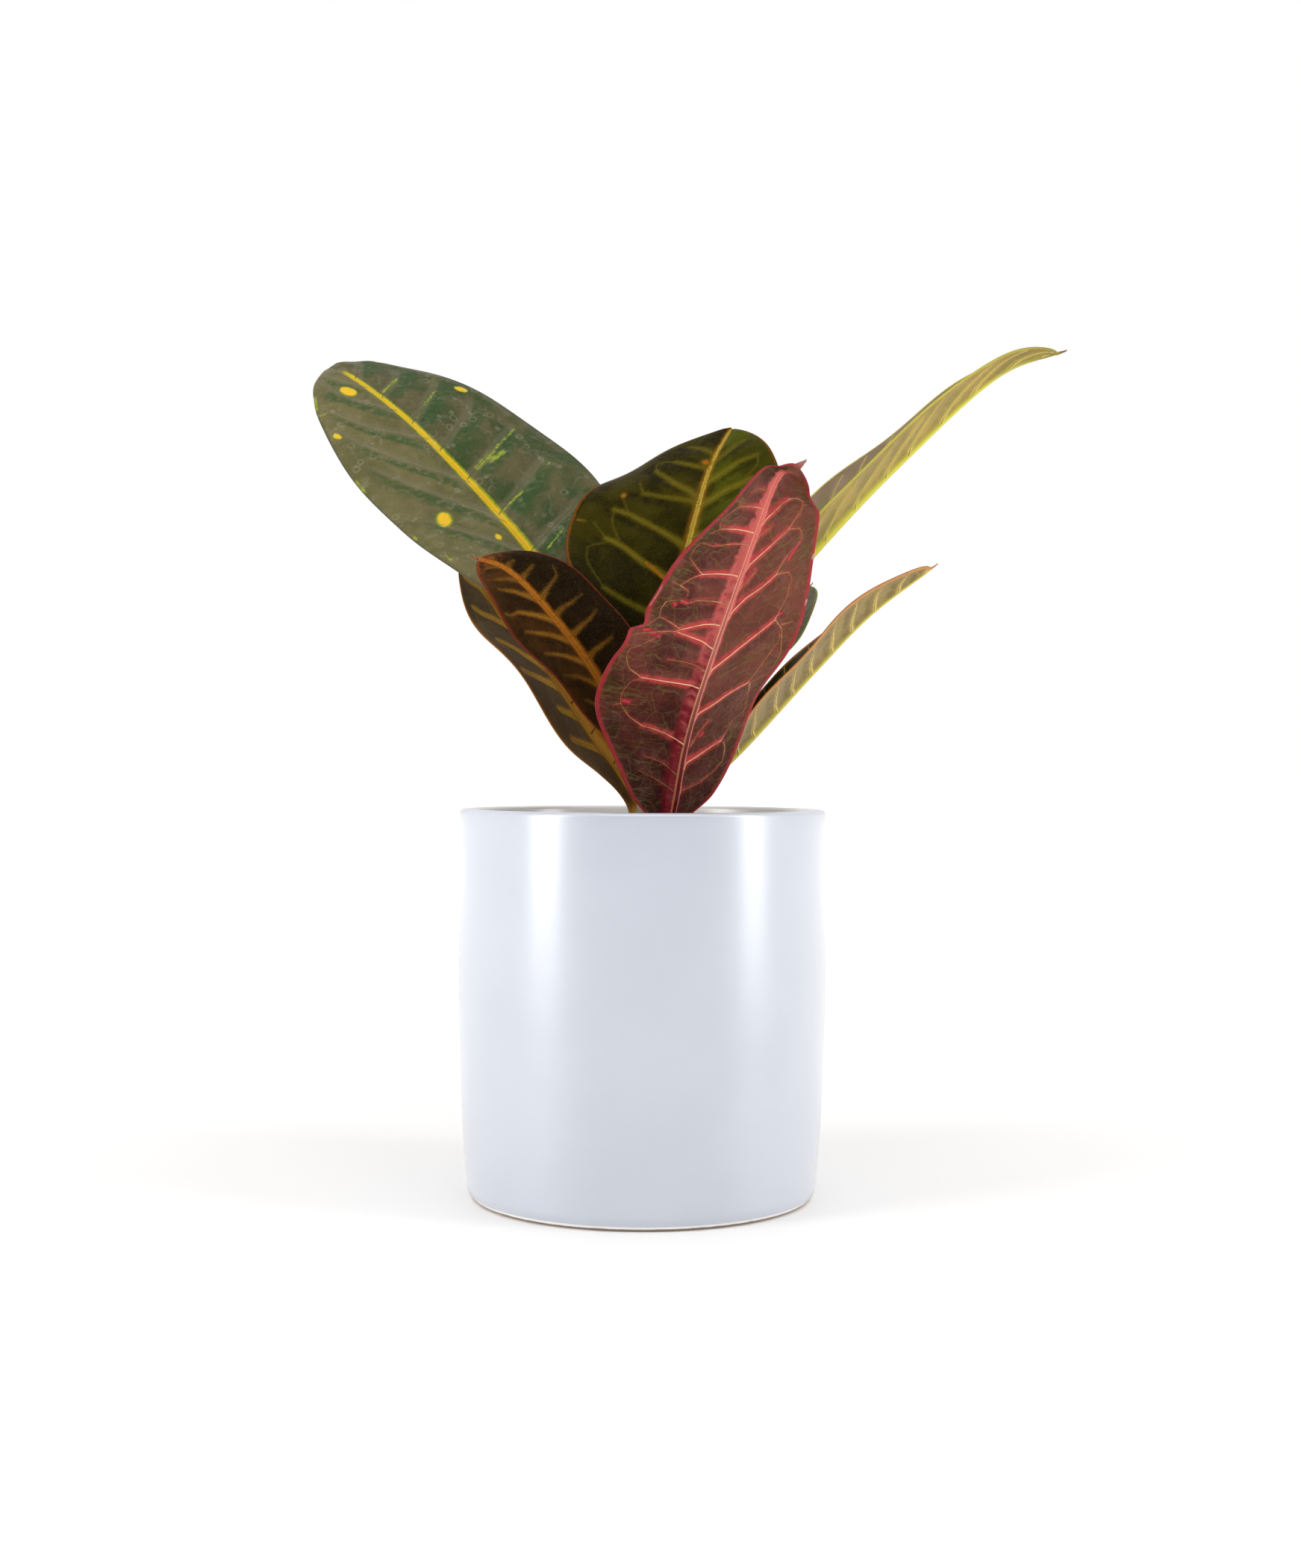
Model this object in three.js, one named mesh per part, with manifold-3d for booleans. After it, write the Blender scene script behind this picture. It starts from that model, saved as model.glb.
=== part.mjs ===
// Potted croton: a young croton with nine grown leaves in a plain white ceramic cylinder pot.
// Millimetres and degrees, +Z up. The origin is the centre of the pot's flat foot, and the
// plant's front, where the low red leaf stands, looks along -Y.

import * as THREE from 'three';
import { mergeVertices } from 'three/addons/utils/BufferGeometryUtils.js';
import Module from 'manifold-3d';

const wasm = await Module();
wasm.setup();

// Gap between two pieces that touch on the real plant.
const SEAT_GAP = 0.3;
// Points of a solid closer than this are one point.
const MERGE_DISTANCE = 0.001;

// The pot: radius and height of each point up the outside, then the rim, wall and floor. taper
// is how much narrower the inside is at the floor than at the rim.
const POT = {
  color: 0xf1f2f4,
  roughness: 0.3,
  outside: [[51.2, 0.6], [52.3, 2.2], [53.7, 18], [54.6, 38], [55.2, 62], [55.2, 92], [55.0, 114.6]],
  sideSteps: 6,
  height: 116,
  footRadius: 50.6,
  rimRound: 1.3,
  wall: 4.6,
  taper: 1,
  floor: 7,
  floorRound: 6,
  segments: 60,
};

// The soil: its level at the stem, its gap to the wall, the drop from the stem to the wall, and
// the swells of its surface, each a height, its turn per millimetre of x and y, and its start.
const SOIL = {
  color: 0x3a2a20,
  roughness: 0.95,
  level: 92,
  wallGap: 0.5,
  drop: 1.8,
  swells: [[0.9, 0.21, 0.06, 1.1], [0.7, -0.05, 0.19, -0.4], [0.5, 0.46, -0.31, 0], [0.4, 0.27, 0.52, 2]],
  ringRadii: [47, 42, 35, 28, 21, 14, 7, 0],
};

// The stem: the points its axis runs through, from inside the soil to the bud, and radii by
// height.
const STEM = {
  color: 0x6f6a45,
  roughness: 0.7,
  axis: [[1.5, 0, 62], [1.5, 0, 97], [2, 1, 122], [3, 2.5, 148], [3.5, 3, 165]],
  radii: [[62, 4.6], [92, 4.4], [120, 3.7], [148, 2.9], [158, 2.4], [162, 1.5], [165, 0.5]],
  rings: 20,
  searchSteps: 30,
};

// Sections across a leaf: places from the right margin to the left, -1 to 1, and rings along it,
// closer together at both ends of the blade by the share RING_CROWDING.
const ACROSS = [-1, -0.7, -0.34, 0, 0.34, 0.7, 1];
const STALK_RINGS = 5;
const BLADE_RINGS = 18;
const RING_CROWDING = 0.55;
// A round section leaves this angle free at each side, so that its two lines stay apart.
const SIDE_ANGLE = 14;

const LEAF_ROUGHNESS = 0.5;
const BLADE_THICKNESS = 0.75;
// The midrib stands out under the blade this far to each side, and loses this share by the tip.
const RIB_HALF_WIDTH = 2.2;
const RIB_TAPER = 0.75;
// The blade's outline closes at this share of its length, and a point this wide goes on.
const BLADE_END = 0.975;
const TIP_WIDTH = 0.9;
// The stalk flattens into the blade between these shares of the blade's length.
const FLATTEN_FROM = -0.02;
const FLATTEN_TO = 0.12;
// The share of a leaf's length, both ways, over which its direction is taken.
const STEADY = 0.07;
// Waves along each margin, and the least curl in degrees that a half is drawn with.
const MARGIN_WAVES = 2.5;
const LEAST_CURL = 0.1;
// Shares of the blade's length over which a notched margin steps out, and bends out of the blade.
const NOTCH_STEP_LENGTH = 0.012;
const NOTCH_BEND_LENGTH = 0.05;

// Each leaf: the height of its seat on the stem, then the points its stalk and midrib run
// through. stalk is the stalk's length and rib the depth of the midrib under the blade.
// face is the way the upper side looks, and twist turns the blade about its midrib at base,
// middle and tip. half gives the widest half widths, left and right seen from above with the
// tip ahead, peak how far along the blade that is, and ends how round (0.5) or pointed (1)
// base and tip are. fold lifts both halves at base, middle and tip, curl bends each half on
// towards its margin, and wave is each margin's lift and its start along the blade. A notch is
// a crease in the right margin: below it a lobe steps out, widest at reach below the crease.
const LEAVES = {
  leaf_left_large: {
    color: 0x55643a, seat: 141, stalk: 34, rib: 2.2, stalkRadius: 1.8,
    midrib: [[-27, 20, 184.5], [-48, 37.5, 211], [-76, 50, 240.5], [-99.5, 60.5, 259], [-109.5, 68, 261]],
    face: [0.37, -0.85, 0.27], twist: [4, 6, -12], half: [32, 33.5], peak: 0.46, ends: [0.57, 0.5],
    fold: [30, 4, -9], curl: [-7, -13], wave: [[1.1, 0.1], [1.2, 0.39]],
  },
  leaf_middle_olive: {
    color: 0x3c3a12, seat: 150, stalk: 16, rib: 2.0, stalkRadius: 1.7,
    midrib: [[4, 10, 157], [11.5, 17, 189], [20, 29, 221.5], [28.5, 44, 239.5]],
    face: [0.21, -0.88, 0.27], twist: [-3, 16, 48], half: [37.5, 30], peak: 0.43, ends: [0.62, 0.63],
    fold: [13, 5, 2], curl: [-17, -12], wave: [[2.5, -0.11], [2, 0.15]],
  },
  leaf_front_red: {
    color: 0x6b3538, seat: 97, stalk: 12, rib: 2.6, stalkRadius: 2.1,
    midrib: [[7.5, -9, 113], [11.5, -15.5, 135], [16.5, -25, 153.5], [26.5, -35, 183], [36, -46.5, 208.5],
      [40.5, -49.5, 211.5], [45, -51, 214]],
    face: [-0.27, 0.9, 0.32], twist: [-6, -16, -21], half: [27.5, 24.5], peak: 0.56, ends: [0.7, 0.52],
    fold: [13, 8, -19], curl: [6, -2], wave: [[2, 0.33], [1.7, 0.54]],
    notch: { at: 0.52, step: 7.5, reach: 0.15, lift: 4.8 },
  },
  leaf_left_small: {
    color: 0x33200e, seat: 122, stalk: 14, rib: 1.6, stalkRadius: 1.6,
    midrib: [[-6.5, -5, 141], [-16, -7, 159], [-29.5, -8, 176.5], [-40.5, -5.5, 187.5], [-51.5, -0.5, 192]],
    face: [0.44, -0.81, 0.26], twist: [-5, 3, -6], half: [15.5, 18.5], peak: 0.55, ends: [0.61, 0.64],
    fold: [18, 12, -8], curl: [2, -11], wave: [[1.2, 0.28], [1.2, 0.4]],
  },
  leaf_left_low: {
    color: 0x5a4c3c, seat: 101, stalk: 14, rib: 2.0, stalkRadius: 2.2,
    midrib: [[-5, 6, 123], [-15.5, 11, 138], [-31.5, 21.5, 161], [-47, 33.5, 179], [-57, 41, 200]],
    face: [0.59, -0.63, 0.17], twist: [-5, -6, -2], half: [21, 19], peak: 0.51, ends: [0.6, 0.57],
    fold: [16, 17, 10], curl: [0, 0], wave: [[1.2, 0.12], [1, 0.3]],
  },
  leaf_right_long: {
    color: 0xa0965a, seat: 134, stalk: 44, rib: 1.8, stalkRadius: 1.8,
    midrib: [[25.5, 0, 165], [53, 4, 196.5], [77.5, 9, 222], [108, 13, 249.5], [131, 19, 259]],
    face: [-0.58, -0.13, 0.71], twist: [-8, -5, 8], half: [14.5, 17], peak: 0.35, ends: [0.6, 0.51],
    fold: [39, 30, 25], curl: [0, 0], wave: [[0.9, 0.33], [0.3, 0.7]],
  },
  leaf_right_low: {
    color: 0x7c6a46, seat: 111, stalk: 18, rib: 1.8, stalkRadius: 1.7,
    midrib: [[16.5, 6, 123.5], [29.5, 10, 135], [52.5, 13.5, 159.5], [70, 15, 177], [91, 18, 192.5]],
    face: [-0.6, -0.09, 0.7], twist: [-10, 1, 11], half: [11, 14], peak: 0.42, ends: [0.61, 0.41],
    fold: [33, 27, 28], curl: [0, 0], wave: [[0.5, 0], [0.6, 0.51]],
  },
  leaf_right_back: {
    color: 0x7f7c5a, seat: 124, stalk: 14, rib: 1.6, stalkRadius: 1.6,
    midrib: [[13.5, 17, 135], [26, 28, 153], [41, 41, 172], [55, 52.5, 189.5]],
    face: [-0.53, -0.67, 0.41], twist: [2, 4, 1], half: [15, 15], peak: 0.52, ends: [0.6, 0.51],
    fold: [15, 11, 6], curl: [0, 0], wave: [[0.8, 0], [0.8, 0.06]],
  },
  leaf_back_low: {
    color: 0x4a3a24, seat: 106, stalk: 15, rib: 1.8, stalkRadius: 1.8,
    midrib: [[5, 15, 122], [9, 35, 144], [13, 57, 164], [16, 77, 176]],
    face: [0, -0.7, 0.7], twist: [0, 0, 0], half: [16, 16], peak: 0.45, ends: [0.6, 0.6],
    fold: [14, 8, 4], curl: [0, -5], wave: [[1, 0], [1, 0.3]],
  },
  leaf_young_front: {
    color: 0x6e8a35, seat: 154, stalk: 6, rib: 0.9, stalkRadius: 1.0,
    midrib: [[5.5, -1.5, 164], [9, -7, 176], [13, -13, 190]],
    face: [-0.3, 0.6, 0.7], twist: [0, 0, 0], half: [5, 5], peak: 0.45, ends: [0.6, 0.8],
    fold: [40, 34, 28], curl: [0, 0], wave: [[0.2, 0], [0.2, 0.3]],
  },
  leaf_young_back: {
    color: 0x7a943c, seat: 157, stalk: 5, rib: 0.8, stalkRadius: 0.9,
    midrib: [[6, 4, 167], [9, 4.5, 177], [12.5, 3.5, 186]],
    face: [-0.7, -0.2, 0.6], twist: [0, 0, 0], half: [4, 4], peak: 0.45, ends: [0.6, 0.8],
    fold: [42, 36, 30], curl: [0, 0], wave: [[0.2, 0], [0.2, 0.3]],
  },
};

const radians = (angle) => (angle * Math.PI) / 180;
const toVector = ([x, y, z]) => new THREE.Vector3(x, y, z);

// A value given at base, middle and tip, at the place s from 0 to 1.
function along([base, middle, tip], s) {
  return base * (1 - s) ** 2 + 2 * middle * s * (1 - s) + tip * s * s;
}

function finish(color, roughness) {
  return new THREE.MeshStandardMaterial({ color, roughness, metalness: 0 });
}

function toSolid(geometry) {
  const bare = geometry.clone();
  bare.deleteAttribute('normal');
  bare.deleteAttribute('uv');
  const merged = mergeVertices(bare, MERGE_DISTANCE);
  return new wasm.Manifold(new wasm.Mesh({
    numProp: 3,
    vertProperties: new Float32Array(merged.attributes.position.array),
    triVerts: new Uint32Array(merged.index.array),
  }));
}

function toGeometry(solid) {
  const mesh = solid.getMesh();
  const geometry = new THREE.BufferGeometry();
  geometry.setAttribute('position', new THREE.BufferAttribute(mesh.vertProperties, 3));
  geometry.setIndex(new THREE.BufferAttribute(mesh.triVerts, 1));
  geometry.computeVertexNormals();
  return geometry;
}

// A closed body through a row of sections. Each has an upper and a lower line of points, from
// right to left, and both faces are split along the same diagonals.
function loft(sections) {
  const count = sections[0].upper.length;
  const positions = [];
  for (const section of sections) {
    for (const point of [...section.upper, ...section.lower]) {
      positions.push(point.x, point.y, point.z);
    }
  }
  const upper = (ring, i) => ring * 2 * count + i;
  const lower = (ring, i) => upper(ring, i) + count;
  const triangles = [];
  const quad = (a, b, c, d) => triangles.push(a, b, c, a, c, d);
  const last = sections.length - 1;
  for (let ring = 0; ring < last; ring += 1) {
    for (let i = 0; i < count - 1; i += 1) {
      triangles.push(upper(ring, i), upper(ring + 1, i), upper(ring + 1, i + 1));
      triangles.push(upper(ring, i), upper(ring + 1, i + 1), upper(ring, i + 1));
      triangles.push(lower(ring, i), lower(ring + 1, i + 1), lower(ring + 1, i));
      triangles.push(lower(ring, i), lower(ring, i + 1), lower(ring + 1, i + 1));
    }
    quad(upper(ring, 0), lower(ring, 0), lower(ring + 1, 0), upper(ring + 1, 0));
    const edge = count - 1;
    quad(upper(ring, edge), upper(ring + 1, edge), lower(ring + 1, edge), lower(ring, edge));
  }
  for (let i = 0; i < count - 1; i += 1) {
    quad(upper(0, i), upper(0, i + 1), lower(0, i + 1), lower(0, i));
    quad(upper(last, i), lower(last, i), lower(last, i + 1), upper(last, i + 1));
  }
  const geometry = new THREE.BufferGeometry();
  geometry.setAttribute('position', new THREE.Float32BufferAttribute(positions, 3));
  geometry.setIndex(triangles);
  geometry.computeVertexNormals();
  return geometry;
}

// A round section, as an upper and a lower line of points that stay apart at both sides.
function roundSection(centre, up, left, radius) {
  const upper = [];
  const lower = [];
  ACROSS.forEach((_, i) => {
    const angle = radians(180 - SIDE_ANGLE - (i * (180 - 2 * SIDE_ANGLE)) / (ACROSS.length - 1));
    const across = radius * Math.cos(angle);
    const rise = radius * Math.sin(angle);
    upper.push(centre.clone().addScaledVector(left, across).addScaledVector(up, rise));
    lower.push(centre.clone().addScaledVector(left, across).addScaledVector(up, -rise));
  });
  return { upper, lower };
}

const rimRadius = POT.outside[POT.outside.length - 1][0];
const innerRim = rimRadius - POT.wall;
const innerFloor = innerRim - POT.taper;

function makePot() {
  const side = new THREE.SplineCurve(POT.outside.map(([r, z]) => new THREE.Vector2(r, z)));
  const profile = [new THREE.Vector2(0, 0), new THREE.Vector2(POT.footRadius, 0)];
  profile.push(...side.getPoints(POT.sideSteps));
  const rimTurn = (radius, from, to) => [0.5, 1].map((step) => {
    const angle = radians(from + (to - from) * step);
    return new THREE.Vector2(
      radius + POT.rimRound * Math.cos(angle),
      POT.height - POT.rimRound + POT.rimRound * Math.sin(angle),
    );
  });
  profile.push(...rimTurn(rimRadius - POT.rimRound, 0, 90));
  profile.push(...rimTurn(innerRim + POT.rimRound, 90, 180));
  profile.push(new THREE.Vector2(innerFloor, POT.floor + POT.floorRound));
  for (const angle of [-45, -90]) {
    profile.push(new THREE.Vector2(
      innerFloor - POT.floorRound + POT.floorRound * Math.cos(radians(angle)),
      POT.floor + POT.floorRound + POT.floorRound * Math.sin(radians(angle)),
    ));
  }
  profile.push(new THREE.Vector2(0, POT.floor));
  const geometry = new THREE.LatheGeometry(profile, POT.segments);
  geometry.rotateX(Math.PI / 2);
  return geometry;
}

// How far the soil's surface lies over its level.
function soilLift(x, y) {
  let lift = -SOIL.drop * (Math.hypot(x, y) / innerRim) ** 2;
  for (const [height, alongX, alongY, start] of SOIL.swells) {
    lift += height * Math.sin(alongX * x + alongY * y + start);
  }
  return lift;
}

function makeSoil(hole) {
  const share = (SOIL.level - POT.floor) / (POT.height - POT.floor);
  const topRadius = innerFloor + share * POT.taper - SOIL.wallGap;
  const floor = POT.floor + SEAT_GAP;
  const profile = [
    new THREE.Vector2(0, floor),
    new THREE.Vector2(innerFloor - POT.floorRound - SEAT_GAP, floor),
    new THREE.Vector2(innerFloor - SOIL.wallGap, floor + POT.floorRound),
    new THREE.Vector2(topRadius, SOIL.level),
    ...SOIL.ringRadii.map((radius) => new THREE.Vector2(radius, SOIL.level)),
  ];
  const geometry = new THREE.LatheGeometry(profile, POT.segments);
  geometry.rotateX(Math.PI / 2);
  const points = geometry.attributes.position;
  for (let i = 0; i < points.count; i += 1) {
    if (points.getZ(i) > SOIL.level - MERGE_DISTANCE) {
      points.setZ(i, SOIL.level + soilLift(points.getX(i), points.getY(i)));
    }
  }
  return toGeometry(toSolid(geometry).subtract(hole));
}

const stemAxis = new THREE.CatmullRomCurve3(STEM.axis.map(toVector), false, 'catmullrom', 0.5);

// The point of the stem's axis at a height. The axis rises all the way.
function stemPoint(height) {
  let low = 0;
  let high = 1;
  for (let step = 0; step < STEM.searchSteps; step += 1) {
    const middle = (low + high) / 2;
    if (stemAxis.getPoint(middle).z < height) {
      low = middle;
    } else {
      high = middle;
    }
  }
  return stemAxis.getPoint(low);
}

function stemRadius(height) {
  const { radii } = STEM;
  const next = Math.max(1, radii.findIndex(([z]) => z >= height));
  const [lowZ, lowRadius] = radii[next - 1];
  const [highZ, highRadius] = radii[next];
  const share = THREE.MathUtils.clamp((height - lowZ) / (highZ - lowZ), 0, 1);
  return lowRadius + share * (highRadius - lowRadius);
}

function makeStem(grown) {
  const sections = [];
  const foot = STEM.axis[0][2];
  const top = STEM.axis[STEM.axis.length - 1][2];
  const left = new THREE.Vector3(-1, 0, 0);
  const up = new THREE.Vector3(0, -1, 0);
  for (let ring = 0; ring <= STEM.rings; ring += 1) {
    const share = Math.sin((ring / STEM.rings) * (Math.PI / 2));
    const height = foot + (top - foot) * share;
    const centre = stemPoint(height);
    if (ring === 0) centre.z -= grown;
    if (ring === STEM.rings) centre.z += grown;
    sections.push(roundSection(centre, up, left, stemRadius(height) + grown));
  }
  return loft(sections);
}

// The blade's half width on one side at the place s from 0 at its base to 1 at its tip.
function halfWidth(leaf, s, side) {
  const place = Math.min(s / BLADE_END, 1);
  const before = THREE.MathUtils.clamp((leaf.peak - place) / leaf.peak, 0, 1);
  const after = THREE.MathUtils.clamp((place - leaf.peak) / (1 - leaf.peak), 0, 1);
  const outline = (1 - before ** 2) ** leaf.ends[0] * (1 - after ** 2) ** leaf.ends[1];
  let width = (side > 0 ? leaf.half[0] : leaf.half[1]) * outline;
  if (leaf.notch && side < 0) {
    const { at, step, reach } = leaf.notch;
    const stepOut = (1 + Math.tanh((at - s) / NOTCH_STEP_LENGTH)) / 2;
    width += step * stepOut * Math.exp(-(((at - s - reach) / reach) ** 2));
  }
  return width + TIP_WIDTH * Math.sqrt(Math.max(1 - s, 0));
}

// How far a point of the blade lies from the midrib, and how far over it, at the share q of the
// half width.
function acrossBlade(leaf, s, q, side) {
  const width = halfWidth(leaf, s, side);
  const index = side > 0 ? 0 : 1;
  const fold = radians(along(leaf.fold, s));
  const curl = radians(leaf.curl[index] || LEAST_CURL);
  const out = (width / curl) * (Math.sin(fold + curl * q) - Math.sin(fold));
  let over = (width / curl) * (Math.cos(fold) - Math.cos(fold + curl * q));
  const [lift, start] = leaf.wave[index];
  const turn = 2 * Math.PI * (MARGIN_WAVES * s + start);
  over += lift * q * q * Math.sin(turn) * Math.sqrt(Math.sin(Math.PI * s));
  if (leaf.notch && side < 0) {
    const below = (leaf.notch.at - s) / NOTCH_BEND_LENGTH;
    over -= leaf.notch.lift * q * q * below * Math.exp(-(below ** 2));
  }
  return { out, over };
}

// The frame at a share of the leaf's whole length: the midrib's point, and the blade's up and left.
function leafFrame(leaf, curve, share, s) {
  const centre = curve.getPointAt(share);
  const behind = curve.getPointAt(Math.max(share - STEADY, 0));
  const ahead = curve.getPointAt(Math.min(share + STEADY, 1)).sub(behind).normalize();
  const face = toVector(leaf.face);
  const up = face.addScaledVector(ahead, -face.dot(ahead)).normalize();
  up.applyAxisAngle(ahead, -radians(along(leaf.twist, s)));
  const left = new THREE.Vector3().crossVectors(up, ahead);
  return { centre, up, left };
}

function leafSection(leaf, curve, share, s) {
  const place = THREE.MathUtils.clamp(s, 0, 1);
  const { centre, up, left } = leafFrame(leaf, curve, share, place);
  const round = roundSection(centre, up, left, leaf.stalkRadius);
  const flat = THREE.MathUtils.smoothstep(s, FLATTEN_FROM, FLATTEN_TO);
  const upper = [];
  const lower = [];
  ACROSS.forEach((q, i) => {
    const side = q < 0 ? -1 : 1;
    const { out, over } = acrossBlade(leaf, place, Math.abs(q), side);
    const top = centre.clone().addScaledVector(left, side * out).addScaledVector(up, over);
    const ridge = leaf.rib * (1 - RIB_TAPER * place) * Math.max(1 - out / RIB_HALF_WIDTH, 0);
    const bottom = top.clone().addScaledVector(up, -BLADE_THICKNESS - ridge);
    upper.push(round.upper[i].clone().lerp(top, flat));
    lower.push(round.lower[i].clone().lerp(bottom, flat));
  });
  return { upper, lower };
}

function makeLeaf(leaf, seatCut) {
  const curve = new THREE.CatmullRomCurve3(
    [stemPoint(leaf.seat), ...leaf.midrib.map(toVector)], false, 'catmullrom', 0.5);
  const stalkShare = leaf.stalk / curve.getLength();
  const sections = [];
  for (let ring = 0; ring < STALK_RINGS; ring += 1) {
    const share = (stalkShare * ring) / STALK_RINGS;
    sections.push(leafSection(leaf, curve, share, -1 + ring / STALK_RINGS));
  }
  for (let ring = 0; ring <= BLADE_RINGS; ring += 1) {
    const even = ring / BLADE_RINGS;
    const s = even + RING_CROWDING * ((1 - Math.cos(Math.PI * even)) / 2 - even);
    sections.push(leafSection(leaf, curve, stalkShare + (1 - stalkShare) * s, s));
  }
  return toGeometry(toSolid(loft(sections)).subtract(seatCut));
}

const group = new THREE.Group();

function add(name, geometry, material) {
  const mesh = new THREE.Mesh(geometry, material);
  mesh.name = name;
  group.add(mesh);
}

const grownStem = toSolid(makeStem(SEAT_GAP));

add('pot', makePot(), finish(POT.color, POT.roughness));
add('soil', makeSoil(grownStem), finish(SOIL.color, SOIL.roughness));
add('stem', makeStem(0), finish(STEM.color, STEM.roughness));
for (const [name, leaf] of Object.entries(LEAVES)) {
  add(name, makeLeaf(leaf, grownStem), finish(leaf.color, LEAF_ROUGHNESS));
}

export default group;
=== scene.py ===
# Potted croton: a young croton with coloured veins in a plain white ceramic pot.
# Sizes are millimetres until a mesh is made, and the origin is the centre of the pot's foot.

import math

import bpy
import numpy as np
from mathutils import Matrix, Vector, noise


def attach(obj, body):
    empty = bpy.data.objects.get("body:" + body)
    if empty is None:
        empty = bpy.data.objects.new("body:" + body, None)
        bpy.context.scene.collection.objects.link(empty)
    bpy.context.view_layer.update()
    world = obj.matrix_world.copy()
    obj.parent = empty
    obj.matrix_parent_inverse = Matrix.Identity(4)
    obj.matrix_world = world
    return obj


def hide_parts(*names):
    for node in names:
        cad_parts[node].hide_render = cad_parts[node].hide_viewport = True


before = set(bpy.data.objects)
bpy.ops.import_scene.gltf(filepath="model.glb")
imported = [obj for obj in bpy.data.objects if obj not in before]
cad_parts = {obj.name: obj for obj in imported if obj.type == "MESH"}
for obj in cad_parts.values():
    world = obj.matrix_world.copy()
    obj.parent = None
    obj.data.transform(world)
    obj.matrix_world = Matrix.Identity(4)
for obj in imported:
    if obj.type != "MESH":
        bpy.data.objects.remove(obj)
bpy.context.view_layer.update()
scene = bpy.context.scene
mm = 0.001
print("frame loaded:", len(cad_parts), "nodes")


# small tools for meshes and nodes

def linear(hexColour):
    # a web colour as the linear values that a shader socket takes
    parts = [int(hexColour[k:k + 2], 16) / 255 for k in (1, 3, 5)]
    return tuple(c / 12.92 if c <= 0.04045 else ((c + 0.055) / 1.055) ** 2.4 for c in parts) + (1,)


def ease(values, low, high):
    t = np.clip((np.asarray(values, float) - low) / (high - low), 0, 1)
    return t * t * (3 - 2 * t)


def along(three, s):
    # a value given at base, middle and tip
    return three[0] * (1 - s) ** 2 + 2 * three[1] * s * (1 - s) + three[2] * s * s


def catmullRom(points, t):
    knots = np.array(points, float)
    knots = np.vstack([2 * knots[0] - knots[1], knots, 2 * knots[-1] - knots[-2]])
    t = np.clip(np.asarray(t, float), 0, 1) * (len(points) - 1)
    i = np.minimum(t.astype(int), len(points) - 2)
    w = (t - i)[..., None]
    a, b, c, d = knots[i], knots[i + 1], knots[i + 2], knots[i + 3]
    return b + 0.5 * w * (c - a + w * (2 * a - 5 * b + 4 * c - d + w * (3 * (b - c) + d - a)))


def newObject(name, points, edges, faces, material=None):
    mesh = bpy.data.meshes.new(name)
    mesh.from_pydata((np.asarray(points) * mm).tolist(), edges, faces)
    mesh.polygons.foreach_set("use_smooth", [True] * len(mesh.polygons))
    if material:
        mesh.materials.append(material)
    made = bpy.data.objects.new(name, mesh)
    scene.collection.objects.link(made)
    return made


def giveAttribute(made, name, values):
    values = np.asarray(values, float)
    if values.ndim == 1:
        made.data.attributes.new(name, "FLOAT", "POINT").data.foreach_set("value", values)
    else:
        attribute = made.data.attributes.new(name, "FLOAT_VECTOR", "POINT")
        attribute.data.foreach_set("vector", values.ravel())


def loopFaces(rings, count, pointed=False):
    # quads between closed loops of points and a face over each end, or a last point beyond the loops
    faces = []
    for ring in range(rings - 1):
        for k in range(count):
            a, b = ring * count + k, ring * count + (k + 1) % count
            faces.append((a, b, b + count, a + count))
    last = (rings - 1) * count
    faces.append(tuple(range(count - 1, -1, -1)))
    if pointed:
        faces += [(last + k, last + (k + 1) % count, last + count) for k in range(count)]
    else:
        faces.append(tuple(range(last, last + count)))
    return faces


def joined(parts, name):
    with bpy.context.temp_override(active_object=parts[0], selected_editable_objects=parts):
        bpy.ops.object.join()
    parts[0].name = name
    parts[0].data.name = name
    return parts[0]


class Board:
    # shorthand for adding and wiring nodes; sockets, numbers and colours may all be given
    def __init__(self, tree):
        self.tree = tree

    def add(self, kind, values=None, **settings):
        node = self.tree.nodes.new(kind)
        for key, value in settings.items():
            setattr(node, key, value)
        for key, value in (values or {}).items():
            if isinstance(value, bpy.types.NodeSocket):
                self.tree.links.new(value, node.inputs[key])
            else:
                node.inputs[key].default_value = value
        return node


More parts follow.
